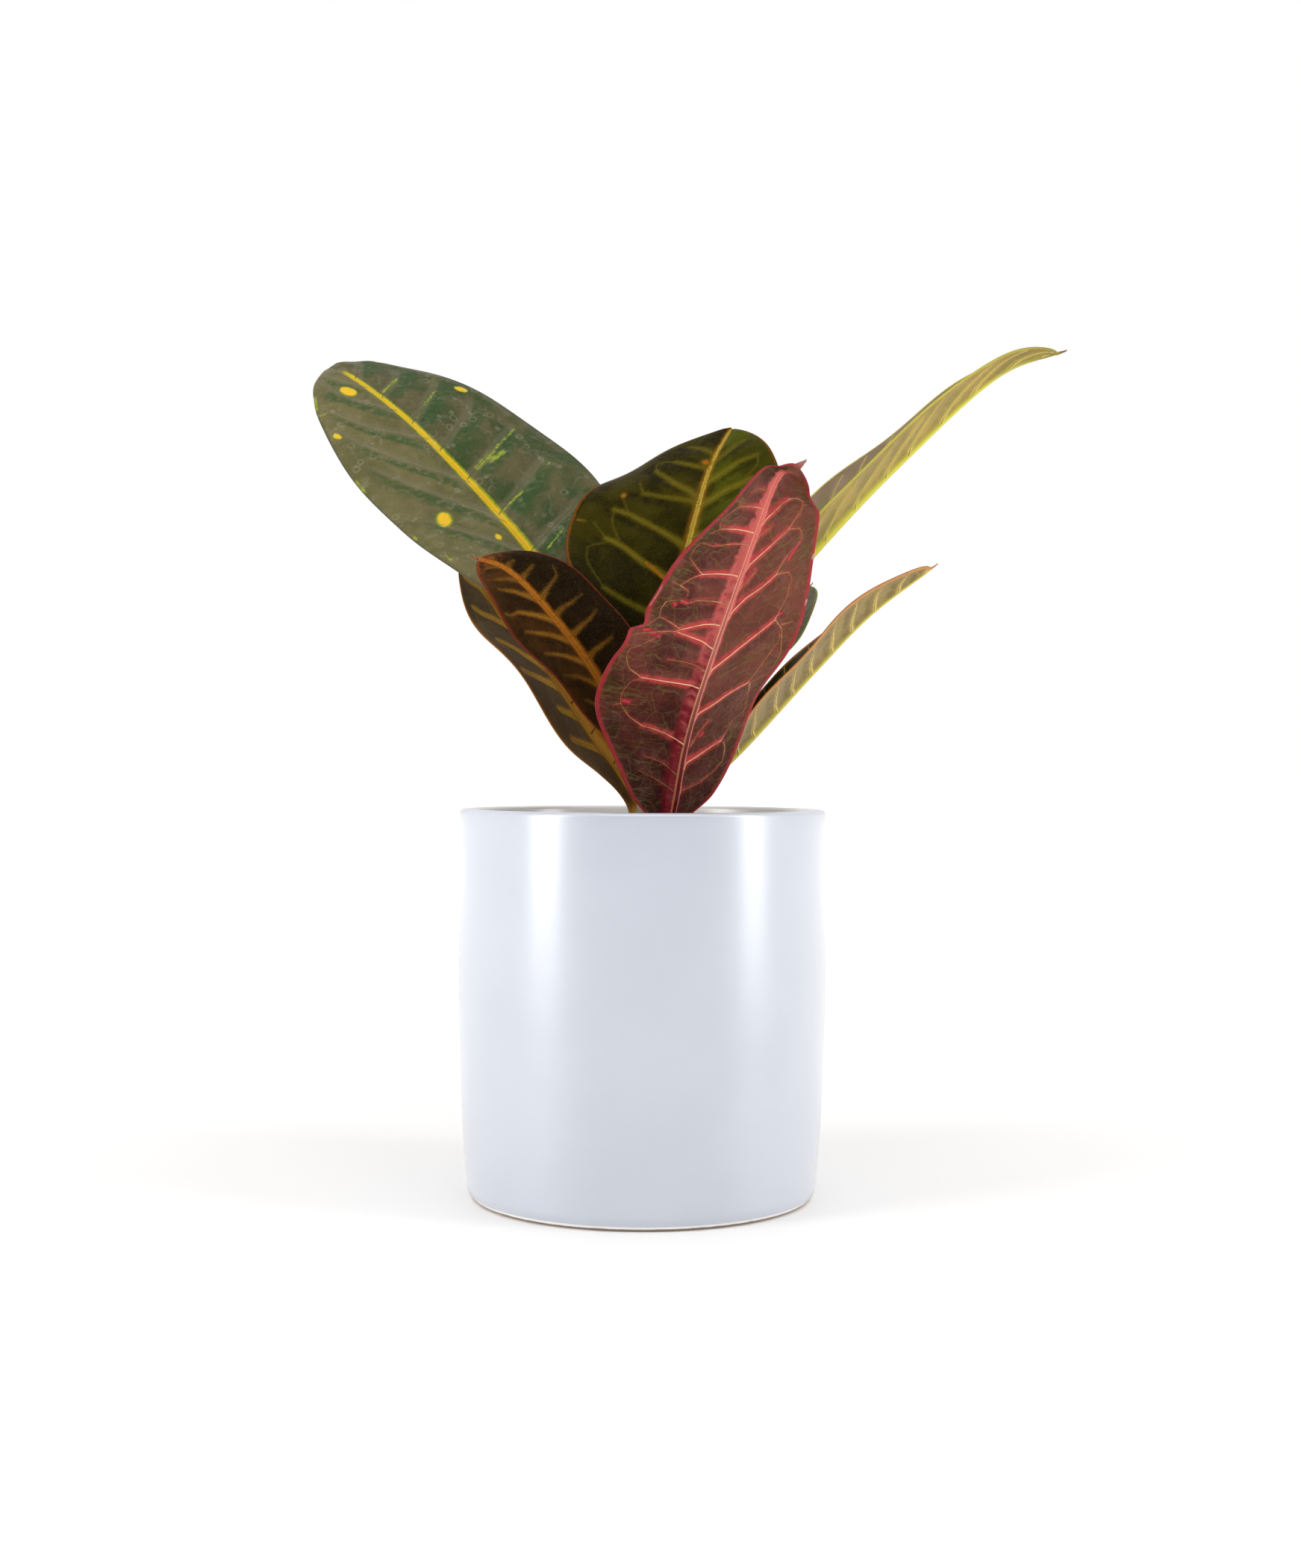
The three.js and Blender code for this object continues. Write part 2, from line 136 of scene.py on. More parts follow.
class Paint(Board):
    # one material and the layers that its colour is mixed from
    def __init__(self, name, **sockets):
        self.material = bpy.data.materials.new(name)
        self.material.use_nodes = True
        super().__init__(self.material.node_tree)
        self.shader = self.tree.nodes["Principled BSDF"]
        for socket, value in sockets.items():
            self.shader.inputs[socket.replace("_", " ")].default_value = value

    def plug(self, socket, value):
        self.tree.links.new(value, self.shader.inputs[socket])

    def math(self, operation, a, b=0.0):
        return self.add("ShaderNodeMath", {0: a, 1: b}, operation=operation).outputs[0]

    def times(self, a, b):
        return self.math("MULTIPLY", a, b)

    def plus(self, a, b):
        return self.math("ADD", a, b)

    def minus(self, a, b):
        return self.math("SUBTRACT", a, b)

    def absolute(self, a):
        return self.math("ABSOLUTE", a)

    def ease(self, value, low, high):
        limits = {0: value, 1: low, 2: high}
        return self.add("ShaderNodeMapRange", limits, interpolation_type="SMOOTHSTEP").outputs[0]

    def mix(self, factor, a, b):
        a, b = [linear(c) if isinstance(c, str) else c for c in (a, b)]
        return self.add("ShaderNodeMix", {0: factor, 6: a, 7: b}, data_type="RGBA").outputs[2]

    def read(self, name):
        return self.add("ShaderNodeAttribute", attribute_name=name).outputs["Vector"]

    def place(self):
        return self.add("ShaderNodeTexCoord").outputs["Object"]

    def split(self, vector):
        return self.add("ShaderNodeSeparateXYZ", {0: vector}).outputs

    def join(self, x, y, z):
        return self.add("ShaderNodeCombineXYZ", {0: x, 1: y, 2: z}).outputs[0]

    def noise(self, vector, scale, detail=2.0, distortion=0.0):
        values = {"Vector": vector, "Scale": scale, "Detail": detail, "Distortion": distortion}
        return self.add("ShaderNodeTexNoise", values).outputs[0]

    def cells(self, vector, scale, feature="DISTANCE_TO_EDGE"):
        values = {"Vector": vector, "Scale": scale}
        return self.add("ShaderNodeTexVoronoi", values, feature=feature).outputs[0]

    def bump(self, height, distance, strength):
        values = {"Strength": strength, "Distance": distance, "Height": height}
        self.plug("Normal", self.add("ShaderNodeBump", values).outputs[0])


def nodeGroup(name, inputs):
    # an empty Geometry Nodes tree with named inputs; gives its board, inputs and output node
    tree = bpy.data.node_groups.new(name, "GeometryNodeTree")
    tree.interface.new_socket("Geometry", in_out="INPUT", socket_type="NodeSocketGeometry")
    tree.interface.new_socket("Geometry", in_out="OUTPUT", socket_type="NodeSocketGeometry")
    for label, kind in inputs.items():
        tree.interface.new_socket(label, in_out="INPUT", socket_type="NodeSocket" + kind)
    board = Board(tree)
    return board, board.add("NodeGroupInput").outputs, board.add("NodeGroupOutput").inputs


def finishTree(board, geometry, material, output):
    real = board.add("GeometryNodeRealizeInstances", {0: geometry})
    coloured = board.add("GeometryNodeSetMaterial", {0: real.outputs[0], "Material": material})
    board.tree.links.new(coloured.outputs[0], output[0])
    return board.tree


def grown(source, tree, name, values):
    # runs a tree on an object and keeps the result as a plain mesh in the object's place
    modifier = source.modifiers.new(tree.name, "NODES")
    modifier.node_group = tree
    sockets = {s.name: s.identifier for s in tree.interface.items_tree if s.in_out == "INPUT"}
    for label, value in values.items():
        modifier[sockets[label]] = value
    graph = bpy.context.evaluated_depsgraph_get()
    mesh = bpy.data.meshes.new_from_object(source.evaluated_get(graph), depsgraph=graph)
    source.modifiers.remove(modifier)
    old = source.data
    source.data = mesh
    bpy.data.meshes.remove(old)
    source.name = name
    mesh.name = name
    return source


def stand(made, *nodes):
    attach(made, "root")
    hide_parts(*nodes)
    made.data.calc_loop_triangles()
    print(" ", made.name, len(made.data.loop_triangles), "triangles")


# the camera stands where the photograph was taken from

cameraValues = {
    "place": (2.3, -608, 129),
    "lens": 46.29,
    "pitchDown": 0.009,
    "roll": 0.004,
}

cameraData = bpy.data.cameras.new("camera")
cameraData.lens = cameraValues["lens"]
cameraData.clip_start = 0.01
camera = bpy.data.objects.new("camera", cameraData)
scene.collection.objects.link(camera)
turned = Matrix.Rotation(math.pi / 2 - cameraValues["pitchDown"], 4, "X")
turned = turned @ Matrix.Rotation(cameraValues["roll"], 4, "Z")
camera.matrix_world = Matrix.Translation(Vector(cameraValues["place"]) * mm) @ turned
scene.camera = camera


# the pot: a turned profile, glazed all over but for the ring it stands on

potValues = {
    "outside": [(52.3, 2.2), (53.7, 18), (54.6, 38), (55.2, 62), (55.2, 92), (55.0, 114.6)],
    "height": 116,
    "footRadius": 51.2,
    "footRound": 1.6,
    "footRing": 2.6,      # width of the ring that the pot stands on
    "hollow": 0.9,        # how far the base is sunk inside that ring
    "rimRound": 1.3,
    "wall": 4.6,
    "taper": 1,
    "floor": 7,
    "floorRound": 6,
    "segments": 160,
    "glaze": ("#bec3ce", "#c1c6d1"),
    "cloudScale": 34,
    "roughness": (0.29, 0.34),
    # painted light: the inside is a whiter copy of the glaze, so that the inner wall stays light in its
    # shade
    "inside": "#ffffff",
    "pinhole": "#c9c2b8",
    "clay": ("#b99a78", "#8f7457"),
    "clayHeight": 0.55,
}


def arc(centre, radius, fromAngle, toAngle, count):
    angles = np.radians(np.linspace(fromAngle, toAngle, count))
    return [(centre[0] + radius * math.cos(a), centre[1] + radius * math.sin(a)) for a in angles]


def potProfile():
    v = potValues
    rim = v["outside"][-1][0]
    innerRim = rim - v["wall"]
    innerFloor = innerRim - v["taper"]
    ringInner = v["footRadius"] - v["footRound"] - v["footRing"]
    # out from the middle of the sunk base, over the ring and the rim, and back to the floor
    profile = [(0, v["hollow"]), (ringInner - 1.4, v["hollow"]), (ringInner - 0.6, v["hollow"] * 0.6)]
    profile += [(ringInner, 0.15), (ringInner + 0.5, 0)]
    profile += arc((v["footRadius"] - v["footRound"], v["footRound"]), v["footRound"], -90, -14, 7)
    profile += [tuple(p) for p in catmullRom(v["outside"], np.linspace(0, 1, 36))]
    top = v["height"] - v["rimRound"]
    profile += arc((rim - v["rimRound"], top), v["rimRound"], 12, 90, 7)
    profile += arc((innerRim + v["rimRound"], top), v["rimRound"], 90, 180, 8)
    bend = v["floor"] + v["floorRound"]
    profile += [(innerFloor + v["taper"] * k, bend + 100 * k) for k in (0.66, 0.33, 0)]
    profile += arc((innerFloor - v["floorRound"], bend), v["floorRound"], 0, -90, 8)
    profile += [(0, v["floor"])]
    return profile


def glazeSkin():
    v = potValues
    paint = Paint("glaze", Specular_IOR_Level=1.0, IOR=1.48,
                  Coat_Weight=1.0, Coat_IOR=1.6, Coat_Roughness=0.22)
    place = paint.place()
    height = paint.split(place)[2]
    cloud = paint.ease(paint.noise(place, v["cloudScale"], 3), 0.35, 0.65)
    colour = paint.mix(cloud, *v["glaze"])
    level = paint.add("ShaderNodeVectorMath", {0: place, 1: (1, 1, 0)}, operation="MULTIPLY").outputs[0]
    radius = paint.add("ShaderNodeVectorMath", {0: level}, operation="LENGTH").outputs["Value"]
    # painted light: the inner wall takes the whiter inside colour, which lifts the shade inside the pot
    inner = v["outside"][-1][0] - v["wall"] + 0.6
    colour = paint.mix(paint.ease(radius, (inner + 0.4) * mm, inner * mm), colour, v["inside"])
    pinholes = paint.ease(paint.noise(place, 900, 1), 0.74, 0.80)
    colour = paint.mix(paint.times(pinholes, 0.2), colour, v["pinhole"])
    wander = paint.plus(height, paint.times(paint.noise(place, 260, 2), 0.0005))
    clay = paint.ease(wander, (v["clayHeight"] + 0.45) * mm, (v["clayHeight"] + 0.1) * mm)
    colour = paint.mix(clay, colour, paint.mix(paint.noise(place, 700, 3), *v["clay"]))
    paint.plug("Base Color", colour)
    smoothest, roughest = v["roughness"]
    rough = paint.plus(paint.times(cloud, roughest - smoothest), smoothest)
    paint.plug("Roughness", paint.math("MAXIMUM", rough, paint.times(clay, 0.85)))
    paint.bump(paint.noise(place, 40, 1), 0.0002, 0.25)
    return paint.material


def turnedTree():
    # sweeps the profile round a circle too small to see, which turns it like a lathe
    board, given, output = nodeGroup("turned", {"Segments": "Int", "Eye": "Float", "Material": "Material"})
    profile = board.add("GeometryNodeMeshToCurve", {0: given["Geometry"]})
    circle = board.add("GeometryNodeCurvePrimitiveCircle",
                       {"Resolution": given["Segments"], "Radius": given["Eye"]})
    turned = board.add("GeometryNodeCurveToMesh",
                       {"Curve": circle.outputs[0], "Profile Curve": profile.outputs[0]})
    merged = board.add("GeometryNodeMergeByDistance", {0: turned.outputs[0], "Distance": 0.00005})
    smooth = board.add("GeometryNodeSetShadeSmooth", {0: merged.outputs[0]})
    return finishTree(board, smooth.outputs[0], given["Material"], output)


def makePot():
    profile = potProfile()[::-1]
    points = [(radius, -height, 0) for radius, height in profile]
    edges = [(k, k + 1) for k in range(len(points) - 1)]
    pot = newObject("pot_profile", points, edges, [])
    values = {"Segments": potValues["segments"], "Eye": 0.00001, "Material": glazeSkin()}
    return grown(pot, turnedTree(), "pot_glazed", values)


stand(makePot(), "pot")
print("pot made")


# the soil: the same swells as the solid, with fine lumps, and litter strewn over it

soilValues = {
    "level": 92,
    "wallGap": 0.5,
    "floorGap": 0.3,
    "footRound": 6,
    "sideTop": 86,        # the side ends here and the surface begins
    "drop": 1.8,
    "swells": [(0.9, 0.21, 0.06, 1.1), (0.7, -0.05, 0.19, -0.4),
               (0.5, 0.46, -0.31, 0), (0.4, 0.27, 0.52, 2)],     # height, turns along x and y, start
    "rings": 66,
    "segments": 132,
    "lumps": 0.9,
    "holeRadius": 4.55,
    "holeFloor": 62,
    "peat": ("#2a1c13", "#45301f"),
    "damp": "#1c130d",
    "fibre": "#8a6a48",
    "perlite": ("#d9d3c6", "#b9b0a0"),
    "bark": ("#5a3a22", "#7b5433", "#33211a"),      # its grain and its dark places
    "litterGap": 1.5,     # bare strip beside the wall and the stem
    "litterLift": 0.25,
    "litter": {
        "crumb": {"density": 200000, "size": (0.45, 1.25), "flat": 0.75, "detail": 1, "seed": 3},
        "bark": {"density": 21000, "size": (1.4, 3.6), "flat": 0.34, "detail": 2, "seed": 8},
        "perlite": {"density": 15500, "size": (0.8, 1.9), "flat": 0.85, "detail": 2, "seed": 5},
    },
}


def soilHeight(x, y):
    v = soilValues
    innerRim = potValues["outside"][-1][0] - potValues["wall"]
    lift = -v["drop"] * (math.hypot(x, y) / innerRim) ** 2
    for height, alongX, alongY, start in v["swells"]:
        lift += height * math.sin(alongX * x + alongY * y + start)
    lift += v["lumps"] * (noise.fractal(Vector((x, y, 0)) * 0.33, 0.6, 2.1, 5) - 0.1)
    return v["level"] + lift


def soilSkin(kind):
    v = soilValues
    paint = Paint("soil_" + kind, Roughness=0.93)
    place = paint.place()
    shade = paint.ease(paint.noise(place, 420, 4), 0.3, 0.7)
    if kind == "perlite":
        colour = paint.mix(shade, *v["perlite"])
    elif kind == "bark":
        grain = paint.noise(place, 150, 3, 1.5)
        colour = paint.mix(shade, paint.mix(grain, *v["bark"][:2]), v["bark"][2])
    else:
        damp = paint.ease(paint.noise(place, 60, 2), 0.4, 0.62)
        colour = paint.mix(shade, *v["peat"])
        colour = paint.mix(paint.times(damp, 0.55), colour, v["damp"])
        fibres = paint.ease(paint.noise(place, 1300, 1, 3), 0.66, 0.72)
        colour = paint.mix(paint.times(fibres, 0.5), colour, v["fibre"])
    paint.plug("Base Color", colour)
    paint.bump(paint.noise(place, 1100, 3), 0.0004, 0.8)
    return paint.material


def litterTree():
    # dented balls of many sizes and turns, strewn over a sheet
    names = {"Density": "Float", "Smallest": "Float", "Largest": "Float", "Flatness": "Float",
             "Detail": "Int", "Seed": "Int", "Material": "Material"}
    board, given, output = nodeGroup("litter", names)
    points = board.add("GeometryNodeDistributePointsOnFaces",
                       {"Mesh": given["Geometry"], "Density": given["Density"], "Seed": given["Seed"]})
    ball = board.add("GeometryNodeMeshIcoSphere", {"Radius": 1.0, "Subdivisions": given["Detail"]})
    rough = board.add("ShaderNodeTexNoise", {"Scale": 1.3, "Detail": 2.0})
    centred = board.add("ShaderNodeVectorMath", {0: rough.outputs["Color"], 1: (0.5, 0.5, 0.5)},
                        operation="SUBTRACT")
    dented = board.add("GeometryNodeSetPosition", {0: ball.outputs[0], "Offset": centred.outputs[0]})
    seed = given["Seed"]
    turn = board.add("FunctionNodeRandomValue", {0: (-0.5, -0.5, 0.0), 1: (0.5, 0.5, 6.28), "Seed": seed},
                     data_type="FLOAT_VECTOR")
    size = board.add("FunctionNodeRandomValue",
                     {2: given["Smallest"], 3: given["Largest"], "Seed": seed}, data_type="FLOAT")
    squash = board.add("ShaderNodeMath", {0: size.outputs[1], 1: given["Flatness"]}, operation="MULTIPLY")
    narrow = board.add("FunctionNodeRandomValue", {2: 0.5, 3: 1.0, "Seed": seed}, data_type="FLOAT")
    breadth = board.add("ShaderNodeMath", {0: size.outputs[1], 1: narrow.outputs[1]}, operation="MULTIPLY")
    scale = board.add("ShaderNodeCombineXYZ",
                      {0: size.outputs[1], 1: breadth.outputs[0], 2: squash.outputs[0]})
    placed = board.add("GeometryNodeInstanceOnPoints",
                       {"Points": points.outputs[0], "Instance": dented.outputs[0],
                        "Rotation": turn.outputs[0], "Scale": scale.outputs[0]})
    return finishTree(board, placed.outputs[0], given["Material"], output)


def soilGrid(outerRadius, innerRadius, lift=0.0):
    # rings that close in on the stem, which stands a little beside the pot's middle
    v = soilValues
    centre = stemValues["axis"][1]
    points = []
    for radius in np.linspace(outerRadius, innerRadius, v["rings"]):
        share = (outerRadius - radius) / (outerRadius - innerRadius)
        for k in range(v["segments"]):
            angle = 2 * math.pi * k / v["segments"]
            x = radius * math.cos(angle) + centre[0] * share
            y = radius * math.sin(angle) + centre[1] * share
            points.append((x, y, soilHeight(x, y) + lift))
    return points


def makeSoil():
    v = soilValues
    innerFloor = potValues["outside"][-1][0] - potValues["wall"] - potValues["taper"]
    share = (v["level"] - potValues["floor"]) / (potValues["height"] - potValues["floor"])
    topRadius = innerFloor + share * potValues["taper"] - v["wallGap"]
    count = v["segments"]
    floor = potValues["floor"] + v["floorGap"]
    side = [(innerFloor - v["footRound"], floor), (innerFloor - v["wallGap"], floor + v["footRound"]),
            (topRadius, v["sideTop"])]
    turns = np.linspace(0, 2 * math.pi, count, endpoint=False)
    points = [(radius * math.cos(turn), radius * math.sin(turn), height)
              for radius, height in side for turn in turns]
    points += soilGrid(topRadius, v["holeRadius"])
    points += [(x, y, v["holeFloor"]) for x, y, z in points[-count:]]
    soil = newObject("soil_surface", points, [], loopFaces(len(points) // count, count), soilSkin("peat"))
    parts = [soil]
    tree = litterTree()
    faces = loopFaces(v["rings"], count)[:-2]
    strewn = soilGrid(topRadius - v["litterGap"], v["holeRadius"] + v["litterGap"], v["litterLift"])
    for kind, litter in v["litter"].items():
        sheet = newObject(kind, strewn, [], faces)
        smallest, largest = litter["size"]
        values = {"Density": float(litter["density"]), "Smallest": smallest * mm, "Largest": largest * mm,
                  "Flatness": litter["flat"], "Detail": litter["detail"],
                  "Seed": litter["seed"], "Material": soilSkin(kind)}
        parts.append(grown(sheet, tree, kind, values))
    return joined(parts, "soil_strewn")


# the stem: bark below, green above, with scars of fallen leaves, and a bud at its top

stemValues = {
    "axis": [(1.5, 0, 62), (1.5, 0, 97), (2, 1, 122), (3, 2.5, 148), (3.5, 3, 165)],
    "radii": [(62, 4.6), (92, 4.4), (120, 3.7), (148, 2.9), (158, 2.4), (162, 1.5), (165, 0.3)],
    "rings": 230,
    "segments": 56,
    "scarHeights": [94.5, 99, 103.5, 108.5, 113, 118, 123, 128, 133, 138.5, 144, 149],
    "scarTurn": 137.5,    # degrees from each scar to the next
    "scarDepth": 0.42,
    "scarRadius": 3.6,
    "scarWidth": 2.3,
    "ledge": (0.6, 0.9),  # how far below the scar it stands out, and its height
    "scarLine": 0.45,
    "budFade": 6,
    "bark": ("#6d5a45", "#94816a"),
    "green": ("#6b7a35", "#8c8f45"),
    "greening": (118, 156),
    "speck": "#b9aa8a",
    "scar": "#4a3a2a",
}


def stemPoint(height):
    t = np.linspace(0, 1, 2001)
    path = catmullRom(stemValues["axis"], t)
    return catmullRom(stemValues["axis"], np.interp(height, path[:, 2], t))


def stemSkin():
    v = stemValues
    paint = Paint("stem_bark", Roughness=0.72)
    place = paint.place()
    height = paint.split(place)[2]
    streaks = paint.add("ShaderNodeMapping", {"Vector": place, "Scale": (1, 1, 0.22)}).outputs[0]
    bark = paint.mix(paint.noise(streaks, 900, 4, 0.6), *v["bark"])
    green = paint.mix(paint.noise(streaks, 500, 3, 0.4), *v["green"])
    colour = paint.mix(paint.ease(height, v["greening"][0] * mm, v["greening"][1] * mm), bark, green)
    specks = paint.ease(paint.noise(place, 1500, 1), 0.68, 0.74)
    colour = paint.mix(paint.times(specks, 0.6), colour, v["speck"])
    scars = paint.split(paint.read("marks"))[0]
    colour = paint.mix(scars, colour, v["scar"])
    paint.plug("Base Color", colour)
    paint.bump(paint.noise(streaks, 1200, 4), 0.0003, 0.7)
    return paint.material


def makeStem():
    v = stemValues
    foot, top = v["axis"][0][2], v["axis"][-1][2]
    turns = np.linspace(0, 2 * math.pi, v["segments"], endpoint=False)
    points, marks = [], []
    for ring in range(v["rings"] + 1):
        height = foot + (top - foot) * math.sin(ring / v["rings"] * math.pi / 2) ** 0.9
        centre = stemPoint(height)
        radius = np.interp(height, *zip(*v["radii"])) * np.ones(v["segments"])
        radius = radius + 0.12 * np.sin(3 * turns + height * 0.11) + 0.06 * math.sin(height * 1.7)
        scarred = np.zeros(v["segments"])
        for k, scar in enumerate(v["scarHeights"]):
            turn = math.radians(k * v["scarTurn"])
            across = np.abs((turns - turn + math.pi) % (2 * math.pi) - math.pi) * v["scarRadius"]
            rise = height - scar + 0.22 * across ** 2 / 3
            inside = np.exp(-(across / v["scarWidth"]) ** 4)
            below, tall = v["ledge"]
            radius = radius + v["scarDepth"] * inside * np.exp(-((rise + below) / tall) ** 2)
            scarred = np.maximum(scarred, inside * np.exp(-(rise / v["scarLine"]) ** 2))
        fade = min(1, (top - height) / v["budFade"])
        radius = 0.3 + (np.maximum(radius, 0.3) - 0.3) * max(fade, 0.05) ** 0.3
        for k, turn in enumerate(turns):
            points.append(centre + radius[k] * np.array([math.cos(turn), math.sin(turn), 0]))
            marks.append((scarred[k] * 0.8 * (height < 150), 0, 0))
    stem = newObject("stem_barked", points, [], loopFaces(v["rings"] + 1, v["segments"]), stemSkin())
    giveAttribute(stem, "marks", marks)
    return stem


stand(makeSoil(), "soil")
print("soil made")
stand(makeStem(), "stem")
print("stem made")


# The leaves. A place on a blade is (s, q): s runs from its base (0) to its tip (1), and q from the
# right margin (-1) over the midrib (0) to the left (1), seen with the upper side facing.

leafForm = {
    "bladeEnd": 0.975,
    "tipWidth": 0.9,
    "steady": 0.07,              # how far apart the points are that give the midrib's direction
    "flatten": (-0.02, 0.12),    # the round stalk becomes a blade between these
    "waves": 2.5,
    "notchStep": 0.005,
    "notchBend": 0.05,
    "thickness": 0.5,
    "swellReach": 3.0,
    "groove": (0.35, 1.2),       # depth and width of the groove over the midrib
    "ribHalfWidth": 2.3,
    "ribTaper": 0.75,
    "veinSwell": (0.22, 0.8),    # height and width of the swelling under a side vein
    "stalkSwell": (0.22, 4, 3),  # size, place and length of the swelling at the stalk's foot
    "stalkRings": 26,
    "sideAngle": 76,
    "bladeCrowding": 0.4,
    "ridge": {"Sides": 6, "Flatness": 0.26},
}

# what every leaf and skin has unless its own dictionary says otherwise
leafHabits = {
    "end": 0.998, "tipCurl": 0, "notch": None, "loops": False, "plain": False, "ribClear": 0.5,
    "web": (0.3, 4), "fineHalo": (0.12, 0.6), "haloFade": 0.5, "shadeBand": (0.8, 2.0, 2.8, 4.6),
    "spots": [], "scars": [],
}

skinHabits = {
    "shine": 0.15, "ragged": 1.0, "grain": 0.15, "netPower": (0.12, 0.2), "netScale": 0.33,
    "blotch": 0.6, "haloEase": (0.12, 0.72), "ribTaper": 0.3, "ribEnd": 1.1, "ribFade": (1.25, 0.7),
    "coreFade": (0.85, 0.4), "glowFrom": 0.87, "glowOver": 0.0, "spot": ("#9aa51c", "#e3b428"),
    "spotFade": 0.6, "spotEase": (0.22, 0.16, 0.4), "scar": "#a98a66", "scarEase": (0.22, 0.48),
    "speck": "#b9b29c", "relief": 0.6,
}

youngSkin = {
    "left": ("#62862c", "#7a9c34"), "right": ("#6a8c30", "#82a03a"), "under": ("#8aa44c", "#98ac58"),
    "halo": ("#a3ac3c", "#b4b85c"), "haloPower": 0.7, "shade": "#54742a", "shadePower": 0.3,
    "ribEdge": ("#a8b040", "#b0b45a"), "ribCore": ("#cdd06a", "#cfd07c"), "ribWidth": 1.2,
    "veinLeft": "#bcc258", "veinRight": "#bcc258", "veinUnder": "#c6ca78",
    "margin": ("#a8783c", "#a8783c"), "marginWidth": 0.3, "stalk": "#9cae50", "dust": 0.0,
    "netScale": 0.9,
}

# seat is the height where the stalk meets the stem, face the way that the upper side looks, and half,
# ends, fold, curl and wave give the blade's outline and section. Side veins are (base, rise, reach) in
# left and right, or lines of (s, q) with their power in mains and without it in forks, or all made by
# rule in even. In a skin, left, right and under are grounds in two tones, spot is its rim and middle,
# crest its foot and the rest of it, and the other pairs of colours are the upper and the lower face's.

